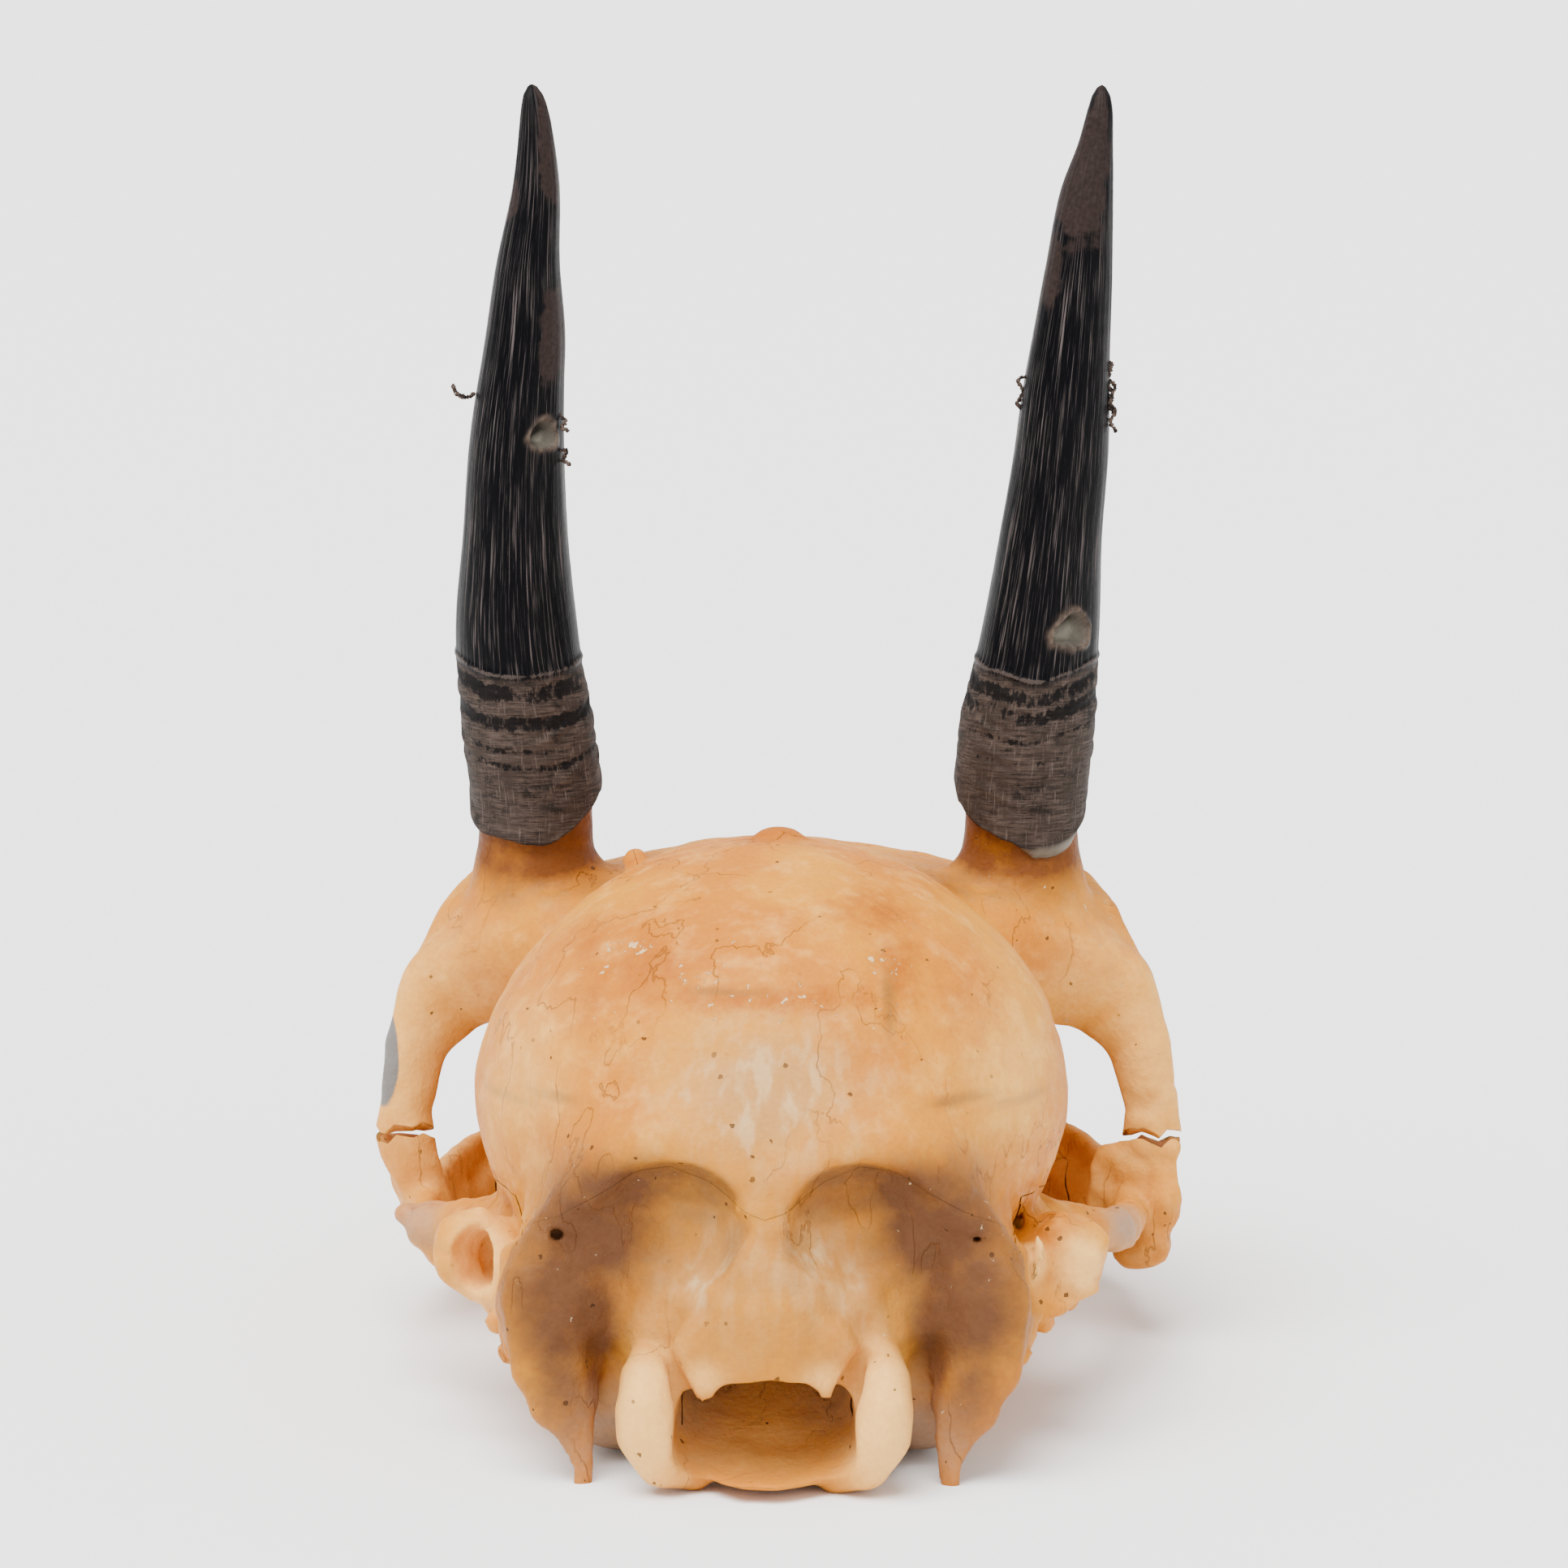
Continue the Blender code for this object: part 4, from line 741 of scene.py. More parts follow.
def bone_masks(mesh):
    """Writes the masks of the finish on the points of a bone, from their places and from how deep they
    lie. Its outer points face as the whole skull does there, so a cut doesn't bend the light beside it."""
    at, own = np.empty((2, len(mesh.vertices) * 3), np.float32)
    mesh.vertices.foreach_get("co", at)
    mesh.vertices.foreach_get("normal", own)
    at = at.reshape(-1, 3) / METRE
    outer = np.abs(depth_at(at)) < 0.2
    normal = np.where(outer[:, None], facing(at), own.reshape(-1, 3))
    mesh.normals_split_custom_set_from_vertices(normal)
    # Painted shade: points with bone close in front of them, along the way they face, are marked to turn
    # orange.
    recess_shade = np.clip(1 - depth_at(at + RECESS_REACH * normal) / RECESS_WIDTH, 0, 1)
    # Painted shadow under the crest: points with bone a little above and behind them, near the crest, are
    # darkened.
    crest_shadow = np.zeros(len(at), np.float32)
    for rise, share in CREST_SHADOW_PROBES:
        above = at + 0.7 * normal + np.array((0, -0.9, rise))
        crest_shadow = np.maximum(crest_shadow, share * np.clip(1.1 - depth_at(above) / 1.1, 0, 1))
    crest_shadow *= patches(at, CREST_SHADE)
    thin = np.clip(1 + depth_at(at - WALL_REACH * normal) / WALL_THICKNESS, 0, 1)
    teeth = np.clip((CROWN_TOP - at[:, 2]) / 0.8, 0, 1) * (np.abs(at[:, 0]) < 21) * (at[:, 1] > 52)
    orange = np.maximum(patches(at, ORANGE_PLACES), patches(at, DOME_ORANGE_PLACES, False))
    pale = np.maximum(patches(at, PALE_PLACES), patches(at, RIGHT_PLACES, False))
    # Painted shade in brown: the hollows under the crest and the shadow beneath its arches.
    painted_shade = np.clip(np.maximum(patches(at, HOLLOW_SHADE_PLACES), crest_shadow), 0, 1)
    painted_shade = painted_shade * (2 - painted_shade)
    pinkish, lines = patches(at, PINKISH_PLACES, False), patches(at, LINE_PLACES, False)
    # The first mask holds orange stains, painted shade under the crest, pale patches and grey; the second
    # holds painted shade in recesses, thin bone, flakes and teeth; the third holds tints.
    named = {
        "stain_and_shade": (orange, painted_shade, pale, patches(at, GREY_PLACES)),
        "wear": (recess_shade, thin, patches(at, FLAKE_PLACES, False), teeth),
        "tint": (pinkish, patches(at, AMBER_PLACES), lines, patches(at, TAN_PLACES)),
    }
    for name, masks in named.items():
        write_values(mesh, name, "color", np.clip(np.stack(masks, axis=1), 0, 1))
    write_values(mesh, "oval", "value", np.clip(patches(at, POST_OVAL, False), 0, 1))


def add(tree, kind, links=(), **settings):
    """A shader node with these settings; links are (input name or number, value or socket) pairs."""
    made = tree.nodes.new(kind)
    for name, value in settings.items():
        setattr(made, name, value)
    for name, value in links:
        if isinstance(value, bpy.types.NodeSocket):
            tree.links.new(value, made.inputs[name])
        else:
            made.inputs[name].default_value = value
    return made


def blend_colour(tree, amount, first, second, how="MIX"):
    """A colour between first and second by this amount."""
    mix = add(tree, "ShaderNodeMix", data_type="RGBA", blend_type=how)
    for socket, value in zip((mix.inputs[0], mix.inputs[6], mix.inputs[7]), (amount, first, second)):
        if isinstance(value, bpy.types.NodeSocket):
            tree.links.new(value, socket)
        else:
            socket.default_value = value
    return mix.outputs[2]


def work_out(tree, how, first, second, clamp=False):
    """The result of a sum on two values, kept from 0 to 1 where clamp is set."""
    return add(tree, "ShaderNodeMath", [(0, first), (1, second)], operation=how, use_clamp=clamp).outputs[0]


def times(tree, first, second):
    """One value times another."""
    return work_out(tree, "MULTIPLY", first, second)


def plus(tree, first, second, clamp=False):
    """One value and another."""
    return work_out(tree, "ADD", first, second, clamp)


def minus(tree, first, second):
    """One value less another."""
    return work_out(tree, "SUBTRACT", first, second)


def between(tree, value, low, high):
    """0 where the value is below low, 1 above high, and a smooth step between them."""
    ramp = add(tree, "ShaderNodeMapRange", [("Value", value), ("From Min", low), ("From Max", high)])
    ramp.interpolation_type = "SMOOTHSTEP"
    return ramp.outputs["Result"]


def noise(tree, place, scale, detail=2.0, rough=0.5):
    """Cloudy values round a half, with this many waves a metre."""
    links = [("Vector", place), ("Scale", scale), ("Detail", detail), ("Roughness", rough)]
    return add(tree, "ShaderNodeTexNoise", links).outputs[0]


def stretched(tree, place, scales):
    """The place with each of its axes scaled."""
    return add(tree, "ShaderNodeMapping", [("Vector", place), ("Scale", scales)]).outputs[0]


def channels(tree, colour):
    """The red, green and blue of a colour."""
    return add(tree, "ShaderNodeSeparateColor", [(0, colour)]).outputs


def new_look(name):
    """A material of this name, its node tree and its shader."""
    look = bpy.data.materials.new(name)
    look.use_nodes = True
    return look, look.node_tree, look.node_tree.nodes["Principled BSDF"]


def speckle_group():
    """Crumbs: cells of random size, kept where their own random value is high, with a soft edge."""
    tree = bpy.data.node_groups.new("crumbs", "ShaderNodeTree")
    face = tree.interface
    face.new_socket("Vector", in_out="INPUT", socket_type="NodeSocketVector")
    face.new_socket("Size mm", in_out="INPUT", socket_type="NodeSocketFloat").default_value = 1.0
    face.new_socket("Amount", in_out="INPUT", socket_type="NodeSocketFloat").default_value = 0.2
    face.new_socket("Crumbs", in_out="OUTPUT", socket_type="NodeSocketFloat")
    inside = tree.nodes.new("NodeGroupInput")
    outside = tree.nodes.new("NodeGroupOutput")
    scale = work_out(tree, "DIVIDE", 1000.0, inside.outputs["Size mm"])
    cells = add(tree, "ShaderNodeTexVoronoi", [("Vector", inside.outputs["Vector"]), ("Scale", scale)])
    random = channels(tree, cells.outputs["Color"])
    edge = noise(tree, inside.outputs["Vector"], 3800.0)
    size = plus(tree, cells.outputs["Distance"], minus(tree, times(tree, edge, 0.9), 0.45))
    size = minus(tree, size, times(tree, random[1], 0.34))
    kept = between(tree, plus(tree, random[0], inside.outputs["Amount"]), 0.96, 0.97)
    crumb = times(tree, kept, between(tree, size, 0.12, 0.02))
    tree.links.new(crumb, outside.inputs["Crumbs"])
    return tree


crumbs = speckle_group()


def bone_finish():
    """Dry bone: cream to orange by place and thinness, painted shade in hollows and recesses, pale rubs,
    painted light inside the spinal opening, flakes and specks.
    """
    look, tree, shader = new_look("aged_bone")
    place = add(tree, "ShaderNodeTexCoord").outputs["Object"]
    stain_and_shade = add(tree, "ShaderNodeAttribute", attribute_name="stain_and_shade").outputs
    wear = add(tree, "ShaderNodeAttribute", attribute_name="wear").outputs
    tint = add(tree, "ShaderNodeAttribute", attribute_name="tint").outputs
    oval = add(tree, "ShaderNodeAttribute", attribute_name="oval").outputs["Fac"]
    orange, painted_shade, pale = channels(tree, stain_and_shade["Color"])[:3]
    recess_shade, thin, flaked = channels(tree, wear["Color"])[:3]
    pinkish, amber, lines = channels(tree, tint["Color"])[:3]
    broad = noise(tree, place, 80.0, 5.0)
    cloud = noise(tree, place, 330.0, 7.0, 0.62)
    island = noise(tree, place, 1050.0, 7.0, 0.62)
    mottle = noise(tree, place, 560.0, 7.0, 0.62)
    grain = noise(tree, place, 1900.0, 5.0)

    def spread(mask, amount, by=cloud):
        """The mask with its edge moved by noise, and nothing where there is no mask."""
        moved = times(tree, minus(tree, by, 0.5), amount)
        return plus(tree, mask, times(tree, moved, between(tree, mask, 0.02, 0.3)), True)

    colour = blend_colour(tree, between(tree, broad, 0.36, 0.64), CREAM, DEEP_CREAM)
    rubbed = times(tree, between(tree, cloud, 0.46, 0.74), 0.38)
    colour = blend_colour(tree, rubbed, colour, PALE_RUB_AND_LIGHT)
    colour = blend_colour(tree, spread(tint["Alpha"], 0.9), colour, TAN)
    colour = blend_colour(tree, spread(pinkish, 0.7), colour, PINKISH)
    fibres = noise(tree, stretched(tree, place, (1.0, 1.0, 0.28)), 620.0, 5.0)
    fibres = times(tree, between(tree, fibres, 0.44, 0.66), pinkish)
    colour = blend_colour(tree, times(tree, fibres, 0.7), colour, BLEACHED)
    for mask, amount, by, paint in (
        (times(tree, thin, 0.35), 0.5, cloud, DEEP_CREAM),
        # painted shade in recesses, in orange
        (times(tree, recess_shade, 0.20), 0.7, cloud, ORANGE),
        (orange, 1.7, mottle, ORANGE),
        (lines, 1.4, cloud, TAN),
        # pale rubs, and painted light inside the spinal opening
        (pale, 0.6, cloud, PALE_RUB_AND_LIGHT),
        (amber, 1.0, cloud, AMBER),
        # painted shade in brown, in the hollows and under the crest
        (painted_shade, 0.6, cloud, EARTH_AND_SHADE),
        (stain_and_shade["Alpha"], 0.9, cloud, GREY),
    ):
        colour = blend_colour(tree, spread(mask, amount, by), colour, paint)
    colour = blend_colour(tree, between(tree, spread(oval, 0.5), 0.5, 0.75), colour, SLATE)
    veins = noise(tree, stretched(tree, place, (1.0, 1.0, 0.35)), 110.0, 6.0)
    veins = work_out(tree, "ABSOLUTE", minus(tree, veins, 0.5), 0.0)
    cracks = times(tree, between(tree, veins, 0.005, 0.0), between(tree, broad, 0.42, 0.60))
    colour = blend_colour(tree, times(tree, cracks, 0.45), colour, AMBER)
    flakes = between(tree, plus(tree, island, times(tree, flaked, 0.24)), 0.70, 0.73)
    colour = blend_colour(tree, times(tree, flakes, 0.65), colour, FLAKE)
    specks = [("Vector", place), ("Size mm", 0.55), ("Amount", -0.022)]
    specks = add(tree, "ShaderNodeGroup", specks, node_tree=crumbs).outputs[0]
    colour = blend_colour(tree, times(tree, specks, 0.8), colour, SPECK)
    colour = blend_colour(tree, times(tree, between(tree, grain, 0.3, 0.75), 0.28), colour, DUST, "MULTIPLY")
    tooth = blend_colour(tree, between(tree, cloud, 0.35, 0.65), ENAMEL, EARTH_AND_SHADE)
    colour = blend_colour(tree, wear["Alpha"], colour, tooth)
    tree.links.new(colour, shader.inputs["Base Color"])
    tree.links.new(plus(tree, times(tree, grain, 0.3), 0.36), shader.inputs["Roughness"])
    relief = plus(tree, times(tree, grain, 0.45), times(tree, cloud, 1.1))
    relief = plus(tree, relief, times(tree, flakes, 0.35))
    relief = minus(tree, relief, times(tree, specks, 0.8))
    relief = minus(tree, relief, times(tree, cracks, 0.5))
    bump = add(tree, "ShaderNodeBump", [("Height", relief), ("Strength", 0.8), ("Distance", 0.00026)])
    tree.links.new(bump.outputs[0], shader.inputs["Normal"])
    shader.inputs["Specular IOR Level"].default_value = 0.1
    shader.inputs["Subsurface Weight"].default_value = 0.12
    shader.inputs["Subsurface Radius"].default_value = (0.0022, 0.0011, 0.0005)
    shader.inputs["Subsurface Scale"].default_value = 1.0
    return look


bone_look = bone_finish()
to_frame = Matrix.Translation((0, back_y * METRE, 0))
for name, piece in pieces.items():
    piece.data.shade_smooth()
    bone_masks(piece.data)
    piece.data.transform(to_frame)
    piece.data.materials.clear()
    piece.data.materials.append(bone_look)
    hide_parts(name)
    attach(piece, "root")

# Horns. Each sheath is a hollow cone of black keratin that fits over its bone core. It is ringed and grey
# at the foot, striped along its length above and worn brown at the tip, with a larva's hole in its side,
# pale inside, with painted shade on its upper inner wall.
BLACK = (0.0005, 0.0005, 0.0011, 1)
STREAK = (0.070, 0.057, 0.055, 1)
FOOT_DARK = (0.006, 0.0045, 0.004, 1)
FOOT_PALE = (0.088, 0.064, 0.052, 1)
FOOT_SMUDGE = (0.006, 0.005, 0.0048, 1)
FOOT_CLOUD = (0.030, 0.0215, 0.017, 1)
FOOT_THREAD = (0.13, 0.10, 0.085, 1)
BAND = (0.0022, 0.002, 0.0024, 1)
LIP = (0.075, 0.058, 0.05, 1)
WORN_DARK = (0.006, 0.004, 0.0036, 1)
WORN_PALE = (0.034, 0.022, 0.019, 1)
HOLE_EDGE_DARK = (0.02, 0.012, 0.009, 1)
HOLE_EDGE_PALE = (0.17, 0.125, 0.095, 1)
HOLE_DARK = (0.10, 0.085, 0.065, 1)
HOLE_PALE = (0.42, 0.39, 0.32, 1)
# Painted shade for the upper inner wall of the hole.
HOLE_SHADE = (0.012, 0.0095, 0.006, 1)
HORN_Z = (44.0, 49.4, 55.9, 64.3, 75.7, 87.0, 92.2, 98.8, 106.1, 109.8, 113.4, 115.2)
HORN_Y = (62.3, 62.3, 62.1, 61.9, 61.8, 62.2, 62.6, 63.0, 64.0, 64.6, 65.3, 65.8)
HORNS = {
    "left": {
        "sign": -1,
        "x": (-22.4, -22.4, -23.1, -24.1, -24.2, -23.7, -23.2, -22.9, -22.3, -22.3, -22.5, -22.7),
        "width": (12.4, 12.4, 12.4, 11.3, 9.45, 8.1, 7.45, 5.95, 4.3, 3.35, 2.1, 1.0),
        "hole": (83.7, 0.62, 1.40, 0.9),
        "layer": (0.75, 0.45, 0.5),
        "bands": ((61.4, 0.9, 1), (58.6, 0.75, 1), (56, 0.35, 0.8), (54.6, 0.4, 0.9), (52.7, 0.25, 0.4)),
        "worn": (((0.9, 110), (0.7, 6), 1.0), ((0.8, 92.5), (0.45, 5), 0.9), ((-0.9, 105), (0.3, 2), 0.8)),
    },
    "right": {
        "sign": 1,
        "x": (22.3, 22.3, 22.8, 23.9, 25.2, 26.2, 26.7, 27.3, 28.1, 28.8, 29.3, 29.4),
        "width": (12.4, 12.4, 12.5, 11.0, 9.3, 8.1, 7.2, 6.0, 4.5, 3.1, 2.0, 1.0),
        "hole": (66.0, 0.53, 1.75, 0.35),
        "layer": (0.55, 0.55, 1.3),
        "bands": ((61.3, 0.8, 0.9), (59.5, 0.8, 1.0), (57.3, 0.3, 0.6), (55.2, 0.3, 0.5), (53.4, 0.3, 0.4)),
        "worn": (((-0.2, 108), (1.2, 8), 1.0), ((-0.9, 99), (0.5, 5), 0.8)),
    },
}
AROUND = 176
ALONG = 330
INNER_ROWS = 12
INNER_TOP = 57.8
INNER_Z = (38, 46, 50, 53, 55, 57, 58.8)
INNER_RADII = (5.7, 5.65, 5.55, 5.3, 4.8, 3.8, 2.3)
RIM_SLANT = 0.572
RIM_LEAN = 0.151
RIM_Z = 49.9
RIM_RADIUS = 6.2
RINGED_TOP = 62.9
LIP_Z = 63.1


def tube(name, rows):
    """A closed tube in the solids' frame: rings of points, each joined to the next, with both ends shut."""
    index = np.arange(rows.shape[0] * rows.shape[1]).reshape(rows.shape[:2])
    following = np.roll(index, -1, axis=1)
    quads = np.stack([index[:-1], following[:-1], following[1:], index[1:]], axis=-1).reshape(-1, 4)
    ends = [index[0, ::-1].tolist(), index[-1].tolist()]
    mesh = bpy.data.meshes.new(name)
    mesh.from_pydata(rows.reshape(-1, 3) * METRE, [], quads.tolist() + ends)
    mesh.transform(to_frame)
    mesh.shade_smooth()
    return mesh


def horn_sheath(side, shape):
    """A tube whose centre line and width follow height: outside from the slanted rim to the tip, inside
    back up from the rim. The rim is a plane leaning back and inwards; rings and ridges move the wall."""
    sign = shape["sign"]

    def ripple(along, around, seed):
        """Smooth random values over the sheath, in this many steps along and round it."""
        return eased(ALONG, AROUND, along, around, seed + sign, True)

    angle = np.linspace(0, 2 * np.pi, AROUND, endpoint=False)[None, :]
    across, forward = np.cos(angle), np.sin(angle)
    part = np.linspace(0, 1, ALONG)[:, None]
    foot = RIM_Z + RIM_SLANT * RIM_RADIUS * forward - RIM_LEAN * RIM_RADIUS * sign * across
    foot = foot + 0.5 * eased(1, AROUND, 1, 9, 5 + sign, True)
    foot = foot + 0.18 * eased(1, AROUND, 1, 40, 9 + sign, True)
    top = HORN_Z[-1] - 0.1
    height = foot + (top - foot) * part
    level = height + 1.5 * np.clip(-forward, 0, 1) ** 2 + 0.35 * ripple(6, 12, 61)
    ridged = np.clip((RINGED_TOP - level) / 0.6, 0, 1)
    centre_x = smooth_through(HORN_Z, shape["x"], height)
    centre_y = smooth_through(HORN_Z, HORN_Y, height)
    radius = smooth_through(HORN_Z, np.array(shape["width"]) / 2, height)
    radius = radius * np.sqrt(np.clip((top - height) / 0.9, 0, 1) * 0.85 + 0.15 * (height < top - 0.001))
    radius = radius + 0.14 * ripple(8, 5, 31) + 0.03 * ripple(7, 56, 41) * (1 - ridged)
    radius = radius + 0.085 * ripple(110, 6, 51) * (0.08 + ridged)
    lip = np.exp(-(((level - LIP_Z) / 0.28) ** 2))
    bands = 0 * level
    for middle, half, strength in shape["bands"]:
        patchy = 0.75 + 0.35 * ripple(9, 9, int(middle * 10))
        bands = np.maximum(bands, strength * patchy * np.exp(-(((level - middle) / half) ** 4)))
    radius = radius + 0.14 * lip - 0.10 * bands
    hole_z, hole_x, hole_size, hole_shade = shape["hole"]
    turn = (angle + math.acos(hole_x) + np.pi) % (2 * np.pi) - np.pi
    apart = np.hypot(turn * radius, (height - hole_z) * 1.12) / hole_size
    corners = np.arctan2(height - hole_z, turn * radius)
    apart = apart * (1 + 0.09 * np.cos(3 * corners - 1.2) + 0.10 * ripple(90, 44, 71))
    bore = 1 / (1 + np.exp((apart - 0.86) * 16))
    edge = np.exp(-(((apart - 1.12) / 0.2) ** 2)) * (0.8 + 0.5 * ripple(150, 70, 81))
    # Painted shade in the hole, strongest on its upper inner wall.
    shade = bore * np.clip(1.5 * (height - hole_z - 0.3 * turn * radius) / hole_size + hole_shade, 0, 1)
    radius = radius - hole_size * bore + 0.3 * edge
    outside = np.stack([centre_x + radius * across, centre_y + radius * forward, height], axis=-1)

    layer_x, layer_wide, layer_drop = shape["layer"]
    layer_turn = (angle + math.acos(layer_x) + np.pi) % (2 * np.pi) - np.pi
    inner_foot = foot + 0.1 - (layer_drop + 0.1) * np.exp(-((layer_turn / layer_wide) ** 4))
    inner_height = inner_foot + (INNER_TOP - inner_foot) * np.linspace(0, 1, INNER_ROWS)[:, None]
    inner_radius = np.interp(inner_height, INNER_Z, INNER_RADII)
    inner_x = sign * CORE_X + inner_radius * across
    inside = np.stack([inner_x, CORE_Y + inner_radius * forward, inner_height], axis=-1)
    mesh = tube(f"horn_{side}", np.concatenate([inside[::-1], outside]))

    turned = np.stack([across + 0 * height, forward + 0 * height, height / 10], axis=-1)
    turned = np.concatenate([np.repeat(turned[:1], INNER_ROWS, axis=0), turned])
    write_values(mesh, "shaft", "vector", turned)
    worn = np.zeros_like(height + across)
    for (where, level), (wide, tall), strength in shape["worn"]:
        round_way = (across - where + (forward > 0) * 1.5) / wide
        worn = np.maximum(worn, strength * np.exp(-(round_way**2) - ((height - level) / tall) ** 2))
    masks = np.stack([ridged + 0 * across, worn, bore, np.clip(edge, 0, 1)], axis=-1)
    inner_masks = np.zeros_like(masks[:INNER_ROWS])
    inner_masks[..., 2] = 1
    write_values(mesh, "wear", "color", np.concatenate([inner_masks, masks]))
    # The last mask holds the dark bands, the lip and the painted shade in the hole.
    rings = np.stack([np.clip(bands, 0, 1), lip, shade, 0 * lip], axis=-1)
    write_values(mesh, "rings", "color", np.concatenate([0 * inner_masks, rings]))
    return put(f"horn_{side}", mesh)


def horn_finish():
    """Keratin: black with pale lengthwise streaks above, grey brown bands below, brown where worn."""
    look, tree, shader = new_look("horn_keratin")
    place = add(tree, "ShaderNodeTexCoord").outputs["Object"]
    shaft = add(tree, "ShaderNodeAttribute", attribute_name="shaft").outputs["Vector"]
    wear = add(tree, "ShaderNodeAttribute", attribute_name="wear").outputs
    ridged, worn, bore = channels(tree, wear["Color"])[:3]
    circles = add(tree, "ShaderNodeAttribute", attribute_name="rings").outputs["Color"]
    bands, lip, shade = channels(tree, circles)[:3]

    def pattern(around, along, detail=3.0, rough=0.5):
        """Noise drawn on the shaft, this dense round it and along it."""
        return noise(tree, stretched(tree, shaft, (around, around, along)), 1.0, detail, rough)

    cloud = noise(tree, place, 420.0, 6.0)
    grain = noise(tree, place, 2600.0, 3.0)
    patchy = between(tree, pattern(2.2, 1.6), 0.30, 0.66)
    streaks = times(tree, between(tree, pattern(24.0, 0.9, 4.0, 0.6), 0.54, 0.62), patchy)
    scratches = times(tree, between(tree, pattern(48.0, 2.0), 0.57, 0.70), 0.55)
    streaks = work_out(tree, "MAXIMUM", streaks, scratches)
    colour = blend_colour(tree, streaks, BLACK, STREAK)
    fine = pattern(2.6, 60.0, 6.0, 0.8)
    foot = blend_colour(tree, between(tree, fine, 0.3, 0.72), FOOT_DARK, FOOT_PALE)
    smudge = between(tree, pattern(2.6, 5.0, 5.0, 0.7), 0.50, 0.66)
    foot = blend_colour(tree, times(tree, smudge, 0.75), foot, FOOT_SMUDGE)
    foot = blend_colour(tree, between(tree, cloud, 0.40, 0.8), foot, FOOT_CLOUD)
    threads = times(tree, between(tree, pattern(30.0, 4.5, 4.0, 0.7), 0.56, 0.68), 0.5)
    foot = blend_colour(tree, threads, foot, FOOT_THREAD)
    ragged = times(tree, minus(tree, pattern(9.0, 9.0, 6.0, 0.7), 0.5), 2.6)
    dark = between(tree, plus(tree, bands, ragged), 0.45, 0.75)
    dark = times(tree, dark, between(tree, bands, 0.02, 0.15))
    foot = blend_colour(tree, times(tree, dark, 0.9), foot, BAND)
    colour = blend_colour(tree, ridged, colour, foot)
    line = between(tree, plus(tree, lip, ragged), 0.55, 0.85)
    line = times(tree, line, between(tree, lip, 0.05, 0.3))
    colour = blend_colour(tree, times(tree, line, 0.6), colour, LIP)
    rubbed = times(tree, minus(tree, cloud, 0.5), 1.1)
    rubbed = between(tree, plus(tree, worn, rubbed), 0.35, 0.55)
    colour = blend_colour(tree, rubbed, colour, blend_colour(tree, grain, WORN_DARK, WORN_PALE))
    dusty = blend_colour(tree, grain, HOLE_EDGE_DARK, HOLE_EDGE_PALE)
    colour = blend_colour(tree, times(tree, wear["Alpha"], 0.85), colour, dusty)
    # The hole: pale inside, with painted shade on its upper inner wall.
    pale = blend_colour(tree, cloud, HOLE_DARK, HOLE_PALE)
    colour = blend_colour(tree, bore, colour, blend_colour(tree, shade, pale, HOLE_SHADE))
    tree.links.new(colour, shader.inputs["Base Color"])
    rough = plus(tree, plus(tree, times(tree, streaks, 0.25), 0.36), times(tree, ridged, 0.25))
    tree.links.new(rough, shader.inputs["Roughness"])
    relief = plus(tree, times(tree, streaks, 0.5), times(tree, grain, 0.3))
    relief = plus(tree, relief, times(tree, fine, ridged))
    bump = add(tree, "ShaderNodeBump", [("Height", relief), ("Strength", 0.6), ("Distance", 0.00012)])
    tree.links.new(bump.outputs[0], shader.inputs["Normal"])
    shader.inputs["Specular IOR Level"].default_value = 0.06
    return look


horn_look = horn_finish()
for side, shape in HORNS.items():
    horn = horn_sheath(side, shape)
    horn.data.materials.append(horn_look)
    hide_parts(f"horn_sheath_{side}")
    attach(horn, "root")

# Frass. Threads of the brown dust that the larvae leave cling to the edges of both sheaths. Each is a thin
# crumbly tube along a wandering curve, stuck to the keratin.
FRASS_DARK = (0.012, 0.008, 0.007, 1)
FRASS_PALE = (0.10, 0.07, 0.055, 1)
THREADS = (
    ((29.9, 62.2, 90.4), (30.4, 61.8, 89.8), (30.0, 61.6, 88.4), (30.5, 61.5, 87.2), (30.0, 61.3, 86.0)),
    ((30.0, 61.3, 86.6), (30.7, 61.2, 85.8), (30.3, 61.1, 84.8), (30.9, 61.1, 83.8)),
    ((29.9, 62.2, 88.6), (30.7, 61.9, 87.9), (30.2, 61.7, 86.4), (30.8, 61.5, 85.2)),
    ((22.6, 62.0, 88.9), (21.9, 61.8, 88.4), (22.3, 61.7, 87.5), (21.8, 61.6, 86.4), (22.2, 61.6, 85.8)),
    ((-27.9, 62.0, 87.2), (-28.5, 61.9, 86.8), (-29.4, 61.9, 87.0), (-29.9, 61.9, 87.9)),
    ((-20.5, 60.9, 85.6), (-19.5, 60.6, 84.9), (-19.8, 60.4, 84.2), (-19.2, 60.3, 83.9)),
    ((-20.4, 60.9, 81.8), (-19.4, 60.6, 82.1), (-19.7, 60.4, 81.2), (-19.1, 60.3, 80.8)),
)
frass_look, dust, shader = new_look("frass_dust")
grain = noise(dust, add(dust, "ShaderNodeTexCoord").outputs["Object"], 2400.0, 4.0)
dusty = blend_colour(dust, between(dust, grain, 0.35, 0.65), FRASS_DARK, FRASS_PALE)
dust.links.new(dusty, shader.inputs["Base Color"])
shader.inputs["Roughness"].default_value = 0.9
shader.inputs["Specular IOR Level"].default_value = 0.1


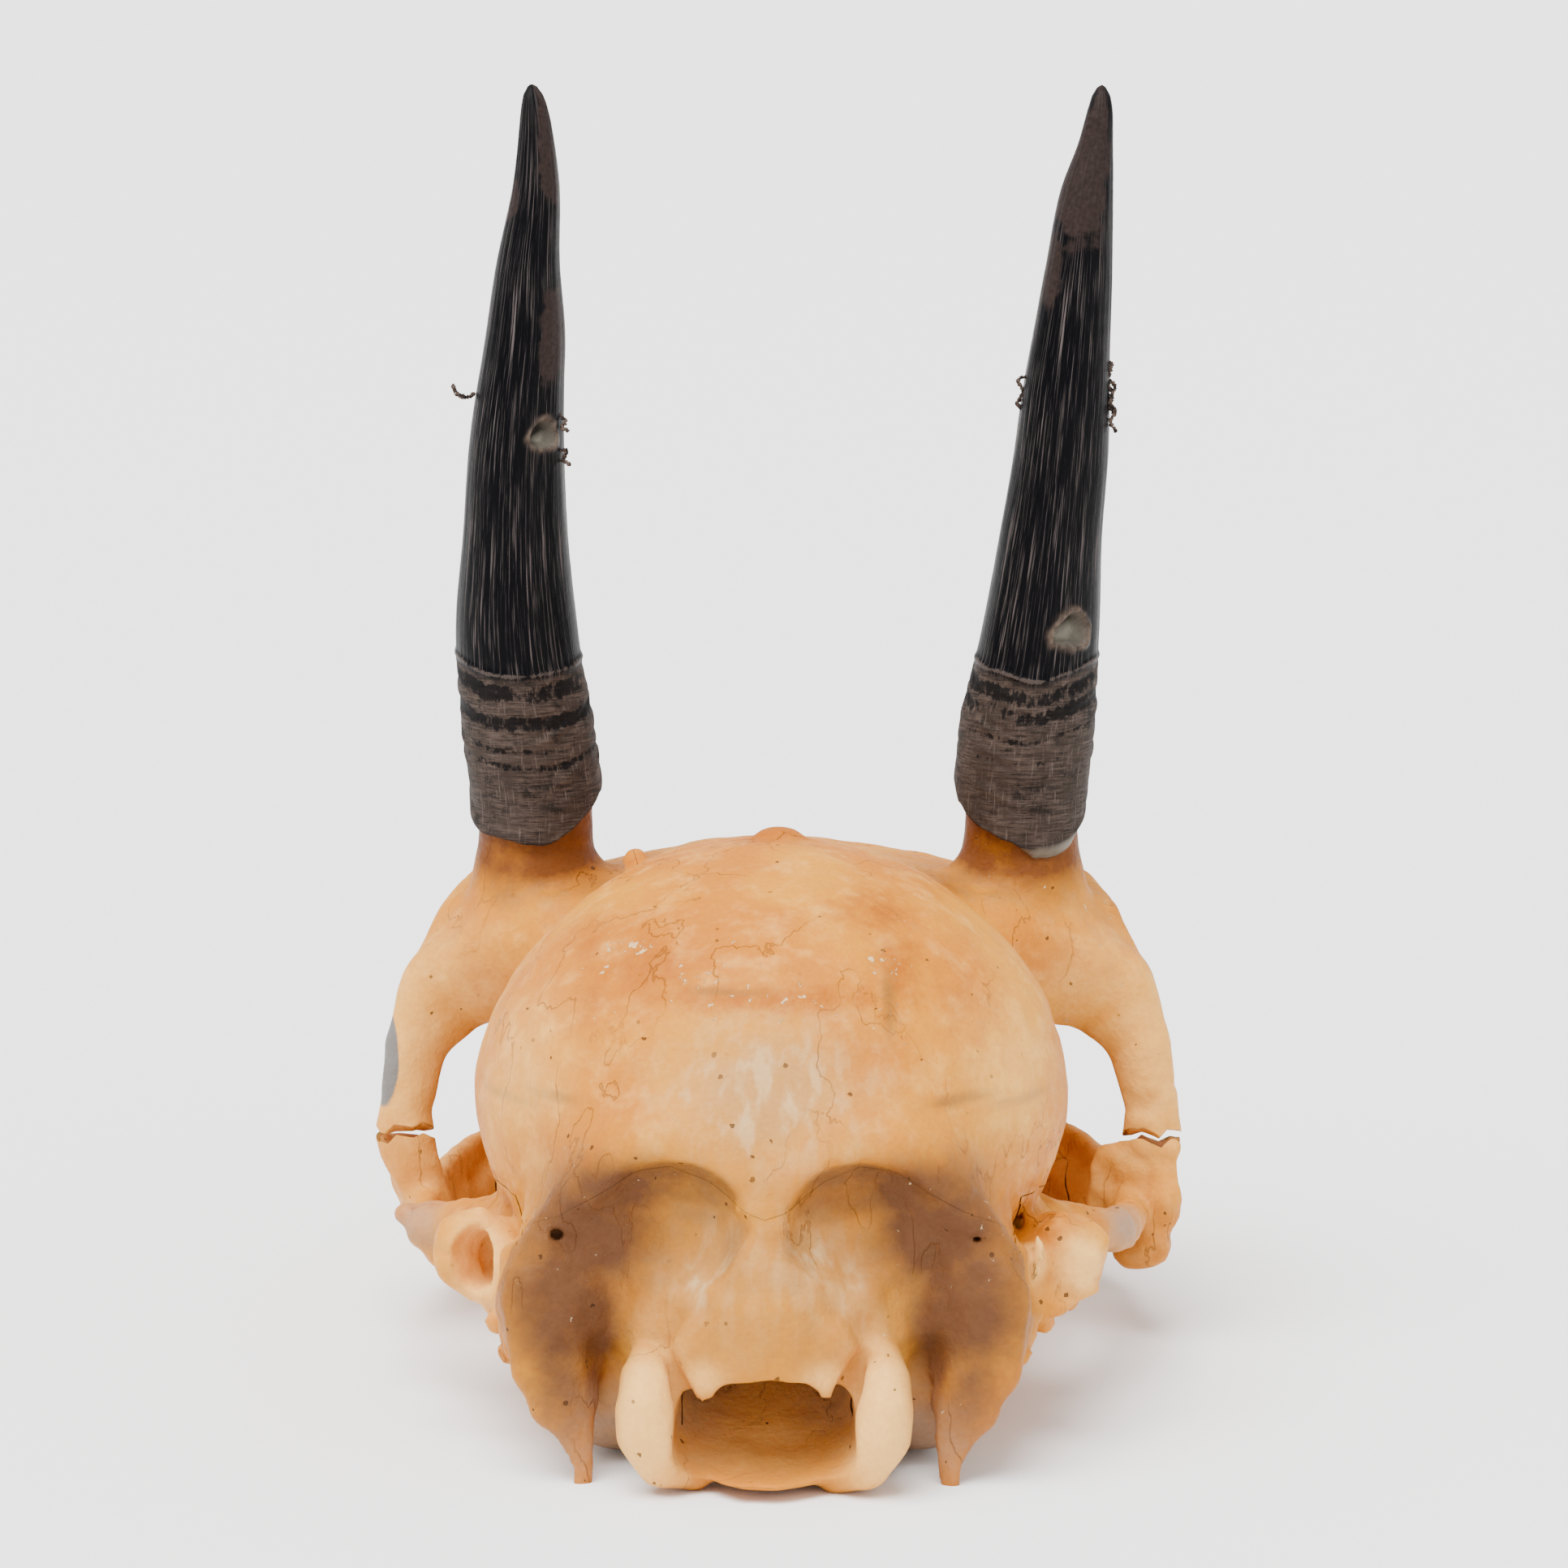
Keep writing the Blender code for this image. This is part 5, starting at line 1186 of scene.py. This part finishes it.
def thread(points, seed):
    """A tube of uneven thickness along a smooth curve through the points: a circle of eight corners,
    carried along the curve in the plane across it, with a random width on every ring and closed ends."""
    points = np.array(points)
    stations = np.arange(len(points))
    along = np.linspace(0, len(points) - 1, 14 * len(points))
    path = np.stack([smooth_through(stations, points[:, axis], along) for axis in range(3)], axis=1)
    random = np.random.default_rng(seed)
    path = path + random.normal(0, 0.05, path.shape)
    tangent = np.gradient(path, axis=0)
    side = np.cross(tangent, (0.3, 1.0, 0.2))
    side /= np.linalg.norm(side, axis=1)[:, None]
    up = np.cross(tangent, side)
    up /= np.linalg.norm(up, axis=1)[:, None]
    radius = random.uniform(0.08, 0.24, len(path))
    radius[[0, -1]] = 0.01
    angle = np.linspace(0, 2 * np.pi, 8, endpoint=False)
    circle = side[:, None] * np.cos(angle)[None, :, None] + up[:, None] * np.sin(angle)[None, :, None]
    return tube("frass", path[:, None] + circle * radius[:, None, None])


for number, points in enumerate(THREADS):
    frass = put(f"frass_{number + 1}", thread(points, number))
    frass.data.materials.append(frass_look)
    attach(frass, "root")

# Room. A pale paper floor that runs to the horizon, one broad light from above and a little to the left, a
# weaker one from the right, and the photo's camera, behind the skull and ten degrees above it.
FLOOR_HALF = 12
floor_mesh = bpy.data.meshes.new("floor")
corners = [(x * FLOOR_HALF, y * FLOOR_HALF, 0) for x, y in ((-1, -1), (1, -1), (1, 1), (-1, 1))]
floor_mesh.from_pydata(corners, [], [(0, 1, 2, 3)])
floor = put("floor", floor_mesh)
paper, _, shader = new_look("floor_paper")
shader.inputs["Base Color"].default_value = (0.94, 0.94, 0.94, 1)
shader.inputs["Roughness"].default_value = 0.9
floor_mesh.materials.append(paper)

world = bpy.data.worlds.new("studio")
world.use_nodes = True
world.node_tree.nodes["Background"].inputs["Color"].default_value = (1, 1, 1, 1)
world.node_tree.nodes["Background"].inputs["Strength"].default_value = 1.25
bpy.context.scene.world = world


def soft_light(name, kind, place, strength, size):
    """A light of this kind and size that faces the middle of the skull."""
    lamp = bpy.data.lights.new(name, kind)
    lamp.energy = strength
    if kind == "SUN":
        lamp.angle = size
    else:
        lamp.size = size
    holder = put(name, lamp)
    holder.location = place
    holder.rotation_euler = (Vector((0, 0, 0.04)) - Vector(place)).to_track_quat("-Z", "Y").to_euler()


soft_light("ceiling_light", "SUN", (-0.22, -0.30, 0.95), 7.0, math.radians(50))
soft_light("side_light", "AREA", (0.7, -0.7, 0.45), 1.5, 0.6)

CAMERA_TURN = -1.2
CAMERA_DOWN = 10
CAMERA_DISTANCE = 0.6
CAMERA_AIM = (0, (45 + back_y) * METRE, 0.0539)
camera = bpy.data.cameras.new("photo_camera")
camera.sensor_width = 36
camera.lens = 153.3
camera.shift_x = 0.0057
camera.clip_start = 0.01
holder = put("photo_camera", camera)
turn, down = math.radians(CAMERA_TURN), math.radians(CAMERA_DOWN)
look_way = Vector((math.sin(turn) * math.cos(down), math.cos(turn) * math.cos(down), -math.sin(down)))
holder.location = Vector(CAMERA_AIM) - look_way * CAMERA_DISTANCE
holder.rotation_euler = look_way.to_track_quat("-Z", "Y").to_euler()
bpy.context.scene.camera = holder
